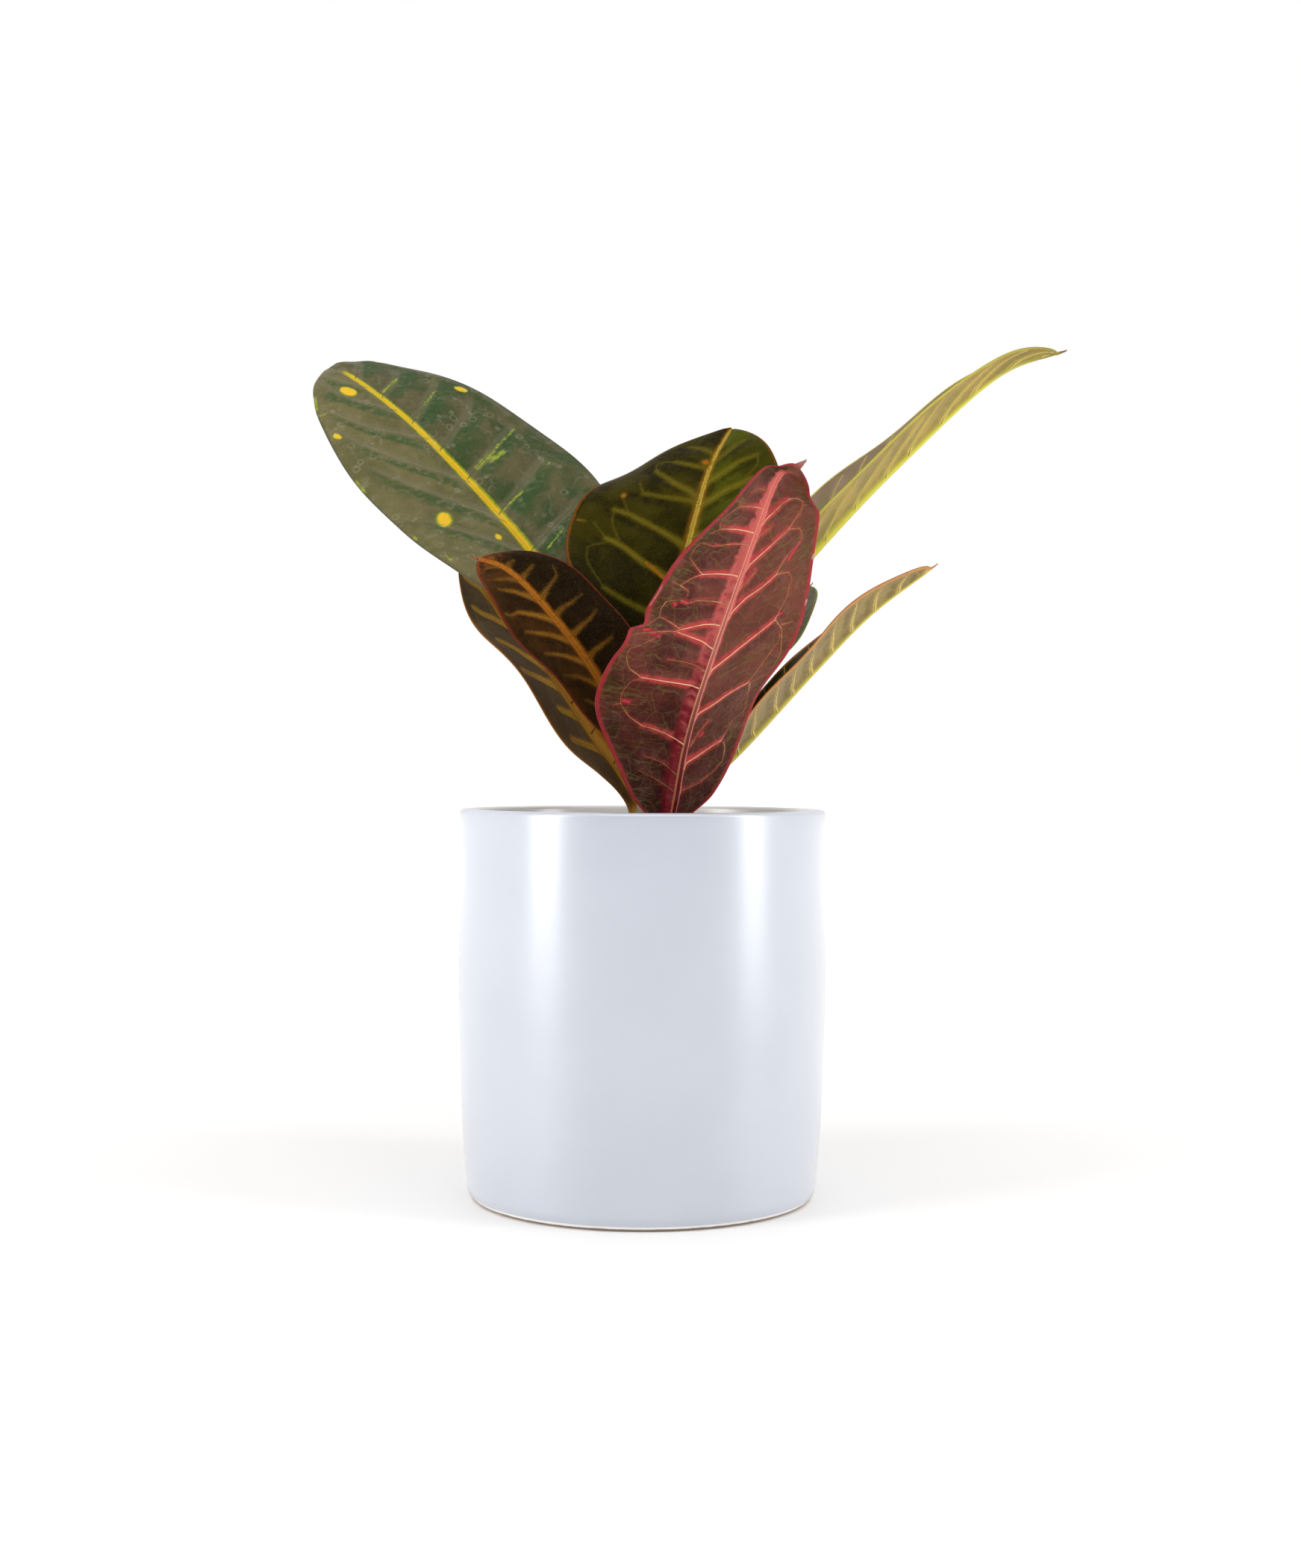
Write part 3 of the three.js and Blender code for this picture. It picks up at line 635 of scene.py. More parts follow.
leaves = {
    "leaf_left_large": {
        "seat": 141, "stalk": 34, "rib": 2.2, "stalkRadius": 1.8,
        "midrib": [(-27, 20, 184.5), (-48, 37.5, 211), (-76, 50, 240.5), (-99.5, 60.5, 259),
                   (-109.5, 68, 261)],
        "face": (0.37, -0.85, 0.27), "twist": (4, 6, -12), "half": (32, 33.5), "peak": 0.46,
        "ends": (0.57, 0.5), "fold": (30, 4, -9), "curl": (-7, -13), "wave": [(1.1, 0.1), (1.2, 0.39)],
        "grid": (210, 112), "quilt": 0.9,
        "left": [(0.1, 0.11, 0.62), (0.235, 0.2, 0.68), (0.365, 0.28, 0.74), (0.495, 0.27, 0.78),
                 (0.64, 0.19, 0.72), (0.745, 0.2, 0.66), (0.84, 0.16, 0.56), (0.915, 0.08, 0.45)],
        "right": [(0.13, 0.07, 0.7), (0.26, 0.07, 0.78), (0.39, 0.08, 0.8), (0.505, 0.07, 0.82),
                  (0.6, 0.08, 0.8), (0.695, 0.08, 0.8), (0.795, 0.06, 0.75), (0.88, 0.05, 0.6)],
        "veinWidth": (0.3, 0.8), "haloWidth": (1.6, 0.8),
        "spots": [(0.435, 0.53, 0.408, 0.6, 1.0, "oval"), (0.875, 0.37, 0.84, 0.25, 0.4, "oval"),
                  (0.777, 0.91, 0.763, 0.85, 0.36, "oval"), (0.725, -0.81, 0.706, -0.87, 0.32, "oval"),
                  (0.325, 0.23, 0.312, 0.22, 0.36, "oval"), (0.905, -0.8, 0.9, -0.88, 0.34, "oval")],
        "scars": [(0.805, -0.09, 0.825, -0.47, 0.7), (0.7, -0.08, 0.723, -0.32, 0.3),
                  (0.723, -0.32, 0.745, -0.62, 0.55), (0.515, -0.15, 0.532, -0.41, 1.1),
                  (0.532, -0.41, 0.56, -0.8, 0.6), (0.512, -0.31, 0.517, -0.48, 1.2),
                  (0.39, -0.02, 0.408, -0.33, 0.55), (0.238, -0.14, 0.265, -0.42, 0.5),
                  (0.6, -0.23, 0.6, -0.26, 0.5), (0.435, -0.72, 0.437, -0.75, 0.6),
                  (0.78, -0.81, 0.78, -0.86, 0.5), (0.453, 0.3, 0.393, 0.09, 0.3),
                  (0.357, 0.58, 0.355, 0.66, 0.5), (0.912, 0.99, 0.87, 0.99, 0.9),
                  (0.85, 0.99, 0.84, 0.89, 0.6), (0.64, 0.985, 0.6, 0.985, 0.6),
                  (0.403, 0.97, 0.39, 0.97, 0.7), (0.295, 0.93, 0.28, 0.93, 0.6)],
        "shadeBand": (0.3, 1.5, 4.4, 8), "end": 0.979,
        "skin": {
            # painted sheen: the left half's grey-brown ground and its pale side veins are the leaf's dusty
            # olive with a sheen painted in
            "left": ("#5b5731", "#6b633d"), "right": ("#31421a", "#585132"),
            "under": ("#6f6b4b", "#5d5c3c"),
            "halo": ("#6f6a50", "#8a8a50"), "haloPower": 0.4, "shade": "#24481c", "shadePower": 0.7,
            "ribEdge": ("#8f9c0c", "#a89c50"), "ribCore": ("#deae1e", "#c9b560"), "ribWidth": 4.4,
            "ribEnd": 0.93, "veinLeft": "#857a64", "veinRight": "#565c36", "veinUnder": "#aaa26a",
            "veinEnd": "#5f5a42", "net": "#4d5230", "netPower": (0.1, 0.1),
            "margin": ("#57533a", "#7a6f48"), "marginWidth": 0.5, "stalk": "#8f8d40", "dust": 0.3,
            "rings": 0.5, "scar": "#8f9a2e", "scarEase": (0.18, 0.72), "spotEase": (0.34, 0.2, 0.5),
            "tip": "#57533a", "shine": 0.12,
        },
    },
    "leaf_middle_olive": {
        "seat": 150, "stalk": 16, "rib": 2.0, "stalkRadius": 1.7,
        "midrib": [(4, 10, 157), (11.5, 17, 189), (20, 29, 221.5), (28.5, 44, 239.5)],
        "face": (0.21, -0.88, 0.27), "twist": (-3, 16, 48), "half": (37.5, 30), "peak": 0.43,
        "ends": (0.62, 0.63), "fold": (13, 5, 2), "curl": (-17, -12), "wave": [(2.5, -0.11), (2, 0.15)],
        "grid": (150, 120), "quilt": 0.5,
        "mains": [
            ([(0.74, 0), (0.745, 0.14), (0.755, 0.31), (0.77, 0.46)], 0.6),
            ([(0.6, 0), (0.633, 0.11), (0.66, 0.29), (0.718, 0.58)], 0.7),
            ([(0.59, 0), (0.595, 0.11), (0.593, 0.28), (0.595, 0.51)], 0.6),
            ([(0.41, 0), (0.43, 0.1), (0.46, 0.29), (0.497, 0.55), (0.505, 0.68)], 0.85),
            ([(0.26, 0), (0.29, 0.14), (0.318, 0.33), (0.365, 0.53), (0.385, 0.67)], 1),
            ([(0.12, 0), (0.143, 0.26), (0.16, 0.52), (0.185, 0.72)], 0.8),
            ([(0.81, 0), (0.843, 0.25), (0.86, 0.53)], 0.5),
            ([(0.575, 0), (0.655, -0.29), (0.713, -0.59)], 0.9),
            ([(0.67, 0), (0.775, -0.41), (0.812, -0.74)], 0.7),
            ([(0.77, 0), (0.858, -0.32), (0.885, -0.52)], 0.5),
            ([(0.45, 0), (0.5, -0.3), (0.55, -0.7)], 0.8),
            ([(0.32, 0), (0.37, -0.35), (0.43, -0.75)], 0.9),
            ([(0.19, 0), (0.23, -0.35), (0.3, -0.78)], 0.9),
            ([(0.08, 0), (0.11, -0.35), (0.17, -0.7)], 0.6),
        ],
        "forks": [
            [(0.497, 0.55), (0.53, 0.6), (0.565, 0.66)], [(0.505, 0.68), (0.448, 0.65), (0.365, 0.53)],
            [(0.185, 0.72), (0.263, 0.82), (0.333, 0.81), (0.37, 0.65)],
            [(0.812, -0.74), (0.765, -0.7), (0.715, -0.52)], [(0.718, 0.58), (0.76, 0.67), (0.77, 0.46)],
            [(0.595, 0.51), (0.62, 0.56), (0.65, 0.62)], [(0.385, 0.67), (0.41, 0.73), (0.438, 0.8)],
            [(0.713, -0.59), (0.64, -0.77), (0.55, -0.7)], [(0.55, -0.7), (0.48, -0.8), (0.43, -0.75)],
        ],
        "fineHalo": (0.5, 0.6), "haloFade": 0.3, "web": (0.6, 5), "loops": True,
        "veinWidth": (0.32, 0.8), "haloWidth": (1.1, 0.9), "end": 0.979,
        "spots": [(0.768, 0.07, 2, 2.8), (0.57, 0.66, 2, 1.6), (0.443, 0.95, 0.438, 0.88, 0.5)],
        "scars": [(0.318, 0.3, 0.28, 0.13, 0.8)],
        "skin": {
            "left": ("#1e1a03", "#363005"), "right": ("#464a0a", "#343206"),
            "under": ("#4e4522", "#3c3419"),
            "halo": ("#6a5c10", "#6f6428"), "haloPower": 0.75, "shade": "#120e01", "shadePower": 0.5,
            # low is painted shade, darker towards the blade's base
            "low": "#151303", "ribEdge": ("#7c5412", "#8c7434"), "ribCore": ("#b0983a", "#c2aa58"),
            "ribWidth": 4.6, "ribFade": (1.5, 0.4), "coreFade": (0.6, 0.3),
            "veinLeft": "#766a1c", "veinRight": "#7c7e26", "veinUnder": "#a69450",
            "veinEnd": "#4c4a12", "net": "#3a380a", "netPower": (0.08, 0.1), "grain": 0.1,
            "margin": ("#6e4014", "#7a5a2c"), "marginWidth": 0.9, "stalk": "#7a6a30", "dust": 0.03,
            "spot": ("#5c4a0e", "#9a5a14"), "spotEase": (0.6, 0.3, 0.9), "scar": "#9a5c10",
            "shine": 0.02, "haloEase": (0.05, 0.85),
        },
    },
    "leaf_front_red": {
        "seat": 97, "stalk": 12, "rib": 2.6, "stalkRadius": 2.1,
        "midrib": [(7.5, -9, 113), (11.5, -15.5, 135), (16.5, -25, 153.5), (26.5, -35, 183),
                   (36, -46.5, 208.5), (40.5, -49.5, 211.5), (45, -51, 214)],
        "face": (-0.27, 0.9, 0.32), "twist": (-6, -16, -21), "half": (27.5, 24.5), "peak": 0.56,
        "ends": (0.7, 0.54, 0.72), "fold": (13, 8, -19), "curl": (6, -2), "wave": [(2, 0.33), (1.7, 0.54)],
        "tipCurl": 0.8, "notch": {"at": 0.52, "step": 7.5, "reach": 0.15, "lift": 4.8},
        "grid": (230, 124), "quilt": 0.4,
        "mains": [
            ([(0.79, 0), (0.825, 0.14), (0.865, 0.31), (0.88, 0.39)], 0.75),
            ([(0.755, 0), (0.78, 0.1), (0.8, 0.22)], 0.55),
            ([(0.68, 0), (0.725, 0.17), (0.765, 0.33), (0.8, 0.49)], 0.8),
            ([(0.63, 0), (0.66, 0.12), (0.69, 0.19)], 0.55),
            ([(0.56, 0), (0.625, 0.19), (0.655, 0.34), (0.69, 0.48)], 0.95),
            ([(0.42, 0), (0.445, 0.09), (0.48, 0.24), (0.52, 0.39), (0.56, 0.54), (0.588, 0.64)], 1),
            ([(0.31, 0), (0.33, 0.11), (0.35, 0.28), (0.38, 0.46), (0.41, 0.68)], 1),
            ([(0.18, 0), (0.2, 0.12), (0.215, 0.29), (0.235, 0.48), (0.25, 0.64)], 1),
            ([(0.12, 0), (0.13, 0.1), (0.14, 0.3), (0.15, 0.52)], 0.35),
            ([(0.88, 0), (0.885, -0.41), (0.875, -0.65)], 0.35),
            ([(0.84, 0), (0.842, -0.37), (0.843, -0.68)], 0.6),
            ([(0.78, 0), (0.785, -0.38), (0.785, -0.7)], 0.9),
            ([(0.675, 0), (0.672, -0.32), (0.665, -0.54)], 1),
            ([(0.605, 0), (0.605, -0.22), (0.6, -0.44), (0.59, -0.55), (0.595, -0.66), (0.585, -0.83)],
             0.45),
            ([(0.555, 0), (0.547, -0.23), (0.535, -0.39), (0.527, -0.5)], 1),
            ([(0.495, 0), (0.508, -0.14), (0.515, -0.32), (0.52, -0.49)], 1),
            ([(0.44, 0), (0.45, -0.11), (0.455, -0.26), (0.455, -0.43)], 0.35),
            ([(0.4, 0), (0.403, -0.21), (0.405, -0.41), (0.408, -0.62)], 1),
            ([(0.25, 0), (0.273, -0.26), (0.283, -0.4), (0.288, -0.52)], 0.85),
            ([(0.17, 0), (0.2, -0.29), (0.212, -0.55)], 0.3),
            ([(0.13, 0), (0.158, -0.41), (0.175, -0.68)], 0.25),
        ],
        "forks": [
            [(0.88, 0.39), (0.89, 0.55), (0.888, 0.71), (0.845, 0.66), (0.833, 0.61)],
            [(0.873, 0.71), (0.885, 0.83)], [(0.8, 0.49), (0.818, 0.55), (0.835, 0.61), (0.865, 0.69)],
            [(0.8, 0.49), (0.805, 0.69), (0.787, 0.76), (0.768, 0.73)],
            [(0.69, 0.48), (0.718, 0.54), (0.745, 0.63), (0.772, 0.75)],
            [(0.69, 0.48), (0.698, 0.67), (0.682, 0.74), (0.662, 0.71)],
            [(0.588, 0.64), (0.625, 0.7), (0.65, 0.73), (0.672, 0.72)], [(0.578, 0.76), (0.59, 0.89)],
            [(0.588, 0.64), (0.568, 0.78), (0.505, 0.91), (0.435, 0.93), (0.408, 0.73)],
            [(0.24, 0.14), (0.265, 0.2), (0.3, 0.31)], [(0.408, 0.73), (0.343, 0.85), (0.302, 0.89)],
            [(0.41, 0.68), (0.445, 0.74), (0.497, 0.77), (0.542, 0.81), (0.557, 0.77)],
            [(0.41, 0.7), (0.378, 0.8), (0.362, 0.76)], [(0.25, 0.64), (0.275, 0.71), (0.295, 0.74)],
            [(0.245, 0.7), (0.223, 0.8), (0.198, 0.82), (0.173, 0.72), (0.155, 0.54)],
            [(0.843, -0.68), (0.825, -0.77), (0.805, -0.82)], [(0.845, -0.7), (0.86, -0.8)],
            [(0.785, -0.7), (0.768, -0.84)], [(0.782, -0.72), (0.8, -0.82)],
            [(0.75, -0.04), (0.745, -0.35), (0.738, -0.6), (0.743, -0.85), (0.725, -0.87), (0.7, -0.83)],
            [(0.665, -0.54), (0.682, -0.68), (0.7, -0.83)],
            [(0.665, -0.54), (0.65, -0.64), (0.628, -0.74), (0.635, -0.88)],
            [(0.628, -0.74), (0.618, -0.6), (0.603, -0.59)],
            [(0.585, -0.83), (0.56, -0.83), (0.545, -0.81)],
            [(0.527, -0.5), (0.537, -0.65), (0.545, -0.81), (0.522, -0.97)],
            [(0.525, -0.5), (0.517, -0.58), (0.503, -0.93)],
            [(0.408, -0.62), (0.425, -0.77), (0.45, -0.86), (0.47, -0.89), (0.478, -0.81), (0.5, -0.66)],
            [(0.288, -0.52), (0.307, -0.65), (0.34, -0.74), (0.367, -0.75), (0.395, -0.7),
             (0.405, -0.62)],
            [(0.34, -0.74), (0.335, -0.82)],
        ],
        "veinWidth": (0.5, 0.55), "haloWidth": (0.8, 1.1), "web": (1.4, 2.6), "haloFade": 0.55,
        "ribClear": 0.8,
        "spots": [(0.59, -0.55, 0.592, -0.64, 0.5), (0.58, -0.68, 0.584, -0.72, 0.45),
                  (0.345, -0.66, 0.348, -0.72, 0.6), (0.598, 0.66, 0.605, 0.71, 0.4),
                  (0.725, 0.62, 0.772, 0.74, 0.4), (0.262, 0.25, 0.27, 0.29, 0.5),
                  (0.52, -0.97, 0.505, -0.62, 0.3)],
        "scars": [(0.74, 0.985, 1.4, 0.7), (0.638, 0.985, 1.4, 0.7), (0.622, -0.99, 0.565, -0.99, 0.2)],
        "skin": {
            "left": ("#3a1512", "#2a1a10"), "right": ("#3a1512", "#2c1c10"),
            "under": ("#66342b", "#43211a"),
            "halo": ("#8c1f24", "#b44040"), "haloPower": 1.0, "shade": "#241010", "shadePower": 0.25,
            # low is painted shade, darker towards the blade's base
            "low": "#220e0d", "warm": "#88503e", "edgeTint": "#3a3018",
            "ribEdge": ("#8a1428", "#c8605a"), "ribCore": ("#d66a5a", "#e0a080"), "ribWidth": 7.8,
            "ribTaper": 0.38, "ribEnd": 0.965, "ribSide": ("#b02c40", "#cc6a60"),
            "ribLow": ("#8a3a30", "#b06a48"), "ribDeep": "#781a24", "ribLine": ("#b84a50", "#dc9480"),
            "crest": ("#5c1418", "#9c5c50"), "veinLeft": "#c9544a",
            "veinRight": "#c9544a", "veinUnder": "#efb48c", "veinEnd": "#8c7a3c", "net": "#6c6034",
            "netPower": (0.1, 0.34), "lean": (0.1, 0.75), "grain": 0.1, "margin": ("#7c1226", "#9c3034"),
            "marginWidth": 1.4, "stalk": "#7c2a30", "dust": 0.3, "speck": "#a88480", "tip": "#a87868",
            "blotch": 2.4, "haloEase": (0.06, 0.85), "spot": ("#8c2028", "#b43c46"), "spotFade": 0.0,
            "scar": "#a8887e", "shine": 0.08,
        },
    },
    "leaf_left_small": {
        "seat": 122, "stalk": 14, "rib": 1.6, "stalkRadius": 1.6,
        "midrib": [(-6.5, -5, 141), (-16, -7, 159), (-29.5, -8, 176.5), (-40.5, -5.5, 187.5),
                   (-51.5, -0.5, 192)],
        "face": (0.44, -0.81, 0.26), "twist": (-5, 3, -6), "half": (15.5, 18.5), "peak": 0.55,
        "ends": (0.61, 0.64), "fold": (18, 12, -8), "curl": (2, -11), "wave": [(1.2, 0.28), (1.2, 0.4)],
        "grid": (140, 84), "quilt": 0.35,
        "mains": [
            ([(0.905, 0), (0.92, -0.25), (0.93, -0.4)], 0.3),
            ([(0.84, 0), (0.853, -0.17), (0.855, -0.36)], 0.35),
            ([(0.765, 0), (0.775, -0.09), (0.782, -0.27), (0.792, -0.51)], 0.4),
            ([(0.66, 0), (0.685, -0.29), (0.703, -0.61), (0.743, -0.75)], 0.5),
            ([(0.578, 0), (0.588, -0.22), (0.585, -0.47), (0.588, -0.7)], 0.5),
            ([(0.485, 0), (0.49, -0.23), (0.495, -0.51), (0.508, -0.71)], 0.55),
            ([(0.375, 0), (0.39, -0.21), (0.393, -0.41), (0.395, -0.6)], 0.55),
            ([(0.28, 0), (0.285, -0.2), (0.29, -0.5), (0.295, -0.66)], 0.5),
            ([(0.18, 0), (0.19, -0.3), (0.2, -0.6)], 0.4),
            ([(0.87, 0), (0.9, 0.3), (0.915, 0.5)], 0.35), ([(0.77, 0), (0.81, 0.3), (0.84, 0.6)], 0.4),
            ([(0.665, 0), (0.708, 0.19), (0.75, 0.39), (0.785, 0.67)], 0.7),
            ([(0.555, 0), (0.59, 0.14), (0.633, 0.35), (0.67, 0.6), (0.675, 0.8), (0.69, 0.89)], 0.9),
            ([(0.455, 0), (0.495, 0.17), (0.542, 0.38), (0.598, 0.73)], 0.8),
            ([(0.355, 0), (0.398, 0.21), (0.445, 0.44), (0.49, 0.74)], 0.8),
            ([(0.25, 0), (0.3, 0.24), (0.333, 0.41), (0.378, 0.76)], 0.6),
            ([(0.15, 0), (0.19, 0.3), (0.25, 0.7)], 0.6),
        ],
        "forks": [
            [(0.743, -0.75), (0.7, -0.82), (0.65, -0.78), (0.588, -0.7)],
            [(0.588, -0.7), (0.56, -0.82), (0.53, -0.8), (0.508, -0.71)],
            [(0.508, -0.71), (0.47, -0.83), (0.43, -0.78), (0.395, -0.6)],
            [(0.675, 0.8), (0.64, 0.87), (0.598, 0.73)], [(0.598, 0.73), (0.55, 0.85), (0.49, 0.74)],
        ],
        "veinWidth": (0.35, 0.8), "haloWidth": (0.75, 0.8), "fineHalo": (0.3, 0.6),
        "web": (1.4, 2.6), "haloFade": 0.6,
        "skin": {
            "left": ("#44290f", "#281808"), "right": ("#120c04", "#1c1206"),
            "under": ("#5a3a24", "#46301c"),
            "halo": ("#8c5c1a", "#8a6230"), "haloPower": 0.9, "shade": "#0e0803", "shadePower": 0.4,
            "ribEdge": ("#804812", "#9c6a2c"), "ribCore": ("#a8681e", "#c9924a"), "ribWidth": 4.6,
            "veinLeft": "#ac7a28", "veinRight": "#7c6422", "veinUnder": "#b98a4c", "veinEnd": "#4a4214",
            "haloEase": (0.06, 0.85),
            "net": "#2a1c0c", "netPower": (0.08, 0.1), "grain": 0.08, "tipGlow": "#8c4c22",
            "margin": ("#6c2c1c", "#8c4424"), "marginWidth": 0.6, "stalk": "#7a5a2c", "dust": 0.03,
            "tip": "#b04a32", "shine": 0.02,
        },
    },
    "leaf_left_low": {
        "seat": 101, "stalk": 14, "rib": 2.0, "stalkRadius": 2.2,
        "midrib": [(-5, 6, 123), (-15.5, 11, 138), (-31.5, 21.5, 161), (-47, 33.5, 179), (-57, 41, 200)],
        "face": (0.59, -0.63, 0.17), "twist": (-5, -6, -2), "half": (21, 19), "peak": 0.51,
        "ends": (0.6, 0.57), "fold": (16, 17, 10), "curl": (0, 0), "wave": [(1.2, 0.12), (1, 0.3)],
        "grid": (150, 84), "quilt": 0.4,
        "mains": [
            ([(0.91, 0), (0.93, 0.3), (0.94, 0.5)], 0.5),
            ([(0.805, 0), (0.82, 0.06), (0.853, 0.23), (0.868, 0.74)], 0.7),
            ([(0.645, 0), (0.685, 0.08), (0.718, 0.34), (0.733, 0.61), (0.75, 0.75)], 1),
            ([(0.49, 0), (0.525, 0.16), (0.552, 0.39), (0.58, 0.53), (0.603, 0.73)], 1),
            ([(0.43, 0), (0.44, 0.14), (0.458, 0.45), (0.473, 0.83)], 0.8),
            ([(0.32, 0), (0.335, 0.22), (0.345, 0.38), (0.35, 0.48)], 0.7),
            ([(0.2, 0), (0.23, 0.4), (0.25, 0.7)], 0.7),
            ([(0.16, 0), (0.19, -0.35), (0.22, -0.7)], 0.8),
            ([(0.27, 0), (0.305, -0.37), (0.34, -0.75)], 0.9),
            ([(0.38, 0), (0.42, -0.4), (0.46, -0.8)], 1), ([(0.5, 0), (0.54, -0.41), (0.58, -0.82)], 1),
            ([(0.62, 0), (0.66, -0.39), (0.7, -0.78)], 0.9),
            ([(0.74, 0), (0.775, -0.35), (0.81, -0.7)], 0.7),
            ([(0.86, 0), (0.885, -0.28), (0.91, -0.55)], 0.5),
        ],
        "forks": [
            [(0.75, 0.75), (0.71, 0.85), (0.65, 0.83), (0.603, 0.73)],
            [(0.603, 0.73), (0.56, 0.86), (0.473, 0.83)],
        ],
        "veinWidth": (0.7, 0.9), "haloWidth": (1.7, 1.0),
        "web": (1.1, 3.5), "fineHalo": (0.25, 0.6), "haloFade": 0.15,
        "skin": {
            # painted light and shade: the right half's near-black ground is painted shadow and the left
            # half's grey-brown is dusty ground with painted sheen; the bright yellow haloes, midrib and
            # veins of the upper face are their own ochre brightened with a painted backlit glow
            "left": ("#7c6648", "#6c563c"), "right": ("#16180a", "#1e1e0e"),
            "under": ("#6a5846", "#584636"), "shine": 0.02,
            "halo": ("#e4ae3c", "#8a6a3a"), "haloPower": 1.0, "shade": "#2a2013", "shadePower": 0.2,
            "ribEdge": ("#b87a24", "#8c6a34"), "ribCore": ("#e4aa46", "#bd9850"), "ribWidth": 7.8,
            "veinLeft": "#f0bc4c", "veinRight": "#8a6c2a", "veinUnder": "#b3925a", "veinEnd": "#a87c30",
            "net": "#40382c", "netPower": (0.08, 0.1), "grain": 0.08, "margin": ("#9a6426", "#9a6a34"),
            "marginWidth": 0.6, "stalk": "#8a6c34", "dust": 0.06,
        },
    },
    "leaf_right_long": {
        "seat": 134, "stalk": 44, "rib": 1.8, "stalkRadius": 1.8,
        "midrib": [(25.5, 0, 165), (53, 4, 196.5), (77.5, 9, 222), (108, 13, 249.5), (131, 19, 259)],
        "face": (-0.58, -0.13, 0.71), "twist": (-8, -5, 8), "half": (14.5, 17), "peak": 0.35,
        "ends": (0.6, 0.74), "fold": (39, 30, 25), "curl": (0, 0), "wave": [(0.9, 0.33), (0.3, 0.7)],
        "grid": (190, 72), "quilt": 0.4,
        "even": (0.1, 0.9, 10, 0.14, 0.9),
        "veinWidth": (0.5, 0.5), "haloWidth": (0.9, 0.75), "plain": True, "ribClear": 1.2,
        "skin": {
            "left": ("#7a6450", "#86705a"), "right": ("#7a6450", "#86705a"),
            "under": ("#a48a40", "#8f783a"), "grain": 0.05,
            "halo": ("#97864e", "#c8b65c"), "haloPower": 0.8, "shade": "#7a7840", "shadePower": 0.6,
            "ribEdge": ("#a8a040", "#a9a43a"), "ribCore": ("#c9c058", "#cfc446"), "ribWidth": 6.0,
            "veinLeft": "#b5a96a", "veinRight": "#b5a96a", "veinUnder": "#d0bf6e", "veinEnd": "#b8a65a",
            "net": "#8a7f58", "netPower": (0.04, 0.06), "margin": ("#b8b040", "#b4aa40"),
            "marginWidth": 0.5, "stalk": "#a8a04a", "dust": 0.08, "tip": "#7c6038",
            "tipGlow": "#7c6c38", "glowFrom": 0.72, "glowOver": 0.85, "ragged": 0.25, "relief": 0.1,
        },
    },
    "leaf_right_low": {
        "seat": 111, "stalk": 18, "rib": 1.8, "stalkRadius": 1.7,
        "midrib": [(16.5, 6, 123.5), (29.5, 10, 135), (52.5, 13.5, 159.5), (70, 15, 177), (91, 18, 192.5)],
        "face": (-0.6, -0.09, 0.7), "twist": (-10, 1, 11), "half": (11, 14), "peak": 0.42,
        "ends": (0.61, 0.64), "fold": (33, 27, 28), "curl": (0, 0), "wave": [(0.5, 0), (0.6, 0.51)],
        "grid": (150, 64), "quilt": 0.35,
        "even": (0.16, 0.93, 10, 0.05, 0.95),
        "veinWidth": (0.5, 0.45), "haloWidth": (0.9, 0.6), "plain": True, "ribClear": 0.8,
        "skin": {
            "left": ("#24250c", "#33320f"), "right": ("#24250c", "#33320f"),
            "under": ("#927e4c", "#84704a"), "ragged": 0.5, "relief": 0.2,
            "halo": ("#5c5420", "#c4ac60"), "haloPower": 0.9, "shade": "#524626", "shadePower": 0.4,
            "ribEdge": ("#8c7428", "#a39a34"), "ribCore": ("#b99a3c", "#c9b848"), "ribWidth": 4.0,
            "veinLeft": "#a8923c", "veinRight": "#a8923c", "veinUnder": "#e0c47a", "veinEnd": "#b09a58",
            "net": "#574d34", "netPower": (0.08, 0.12), "margin": ("#b06e34", "#c08850"),
            "marginWidth": 1.0, "stalk": "#8c7c3a", "dust": 0.06, "tip": "#c98a52",
        },
    },
    "leaf_right_back": {
        "seat": 124, "stalk": 14, "rib": 1.6, "stalkRadius": 1.6,
        "midrib": [(13.5, 17, 135), (26, 28, 153), (41, 41, 172), (55, 52.5, 189.5)],
        "face": (-0.53, -0.67, 0.41), "twist": (2, 4, 1), "half": (15, 15), "peak": 0.52,
        "ends": (0.6, 0.51), "fold": (15, 11, 6), "curl": (0, 0), "wave": [(0.8, 0), (0.8, 0.06)],
        "grid": (130, 64), "quilt": 0.35,
        "even": (0.12, 0.9, 10, 0.08, 0.82),
        "veinWidth": (0.6, 0.8), "haloWidth": (1.0, 0.8),
        "skin": {
            "left": ("#64624a", "#73705a"), "right": ("#5c5c44", "#6f6c54"),
            "under": ("#6f6a50", "#5f5a40"),
            "halo": ("#7f7c4c", "#8f8a58"), "haloPower": 0.6, "shade": "#47492e", "shadePower": 0.4,
            "ribEdge": ("#8c8438", "#948c48"), "ribCore": ("#b9a94a", "#b9ac60"), "ribWidth": 2.6,
            "veinLeft": "#938c50", "veinRight": "#938c50", "veinUnder": "#a89e68",
            "margin": ("#8a8438", "#8a8438"), "marginWidth": 0.7, "stalk": "#8c8440",
            "dust": 0.4, "rings": 0.4,
        },
    },
    "leaf_back_low": {
        "seat": 106, "stalk": 15, "rib": 1.8, "stalkRadius": 1.8,
        "midrib": [(5, 15, 122), (9, 35, 144), (13, 57, 164), (16, 77, 176)],
        "face": (0, -0.7, 0.7), "twist": (0, 0, 0), "half": (16, 16), "peak": 0.45,
        "ends": (0.6, 0.6), "fold": (14, 8, 4), "curl": (0, -5), "wave": [(1, 0), (1, 0.3)],
        "grid": (130, 64), "quilt": 0.4,
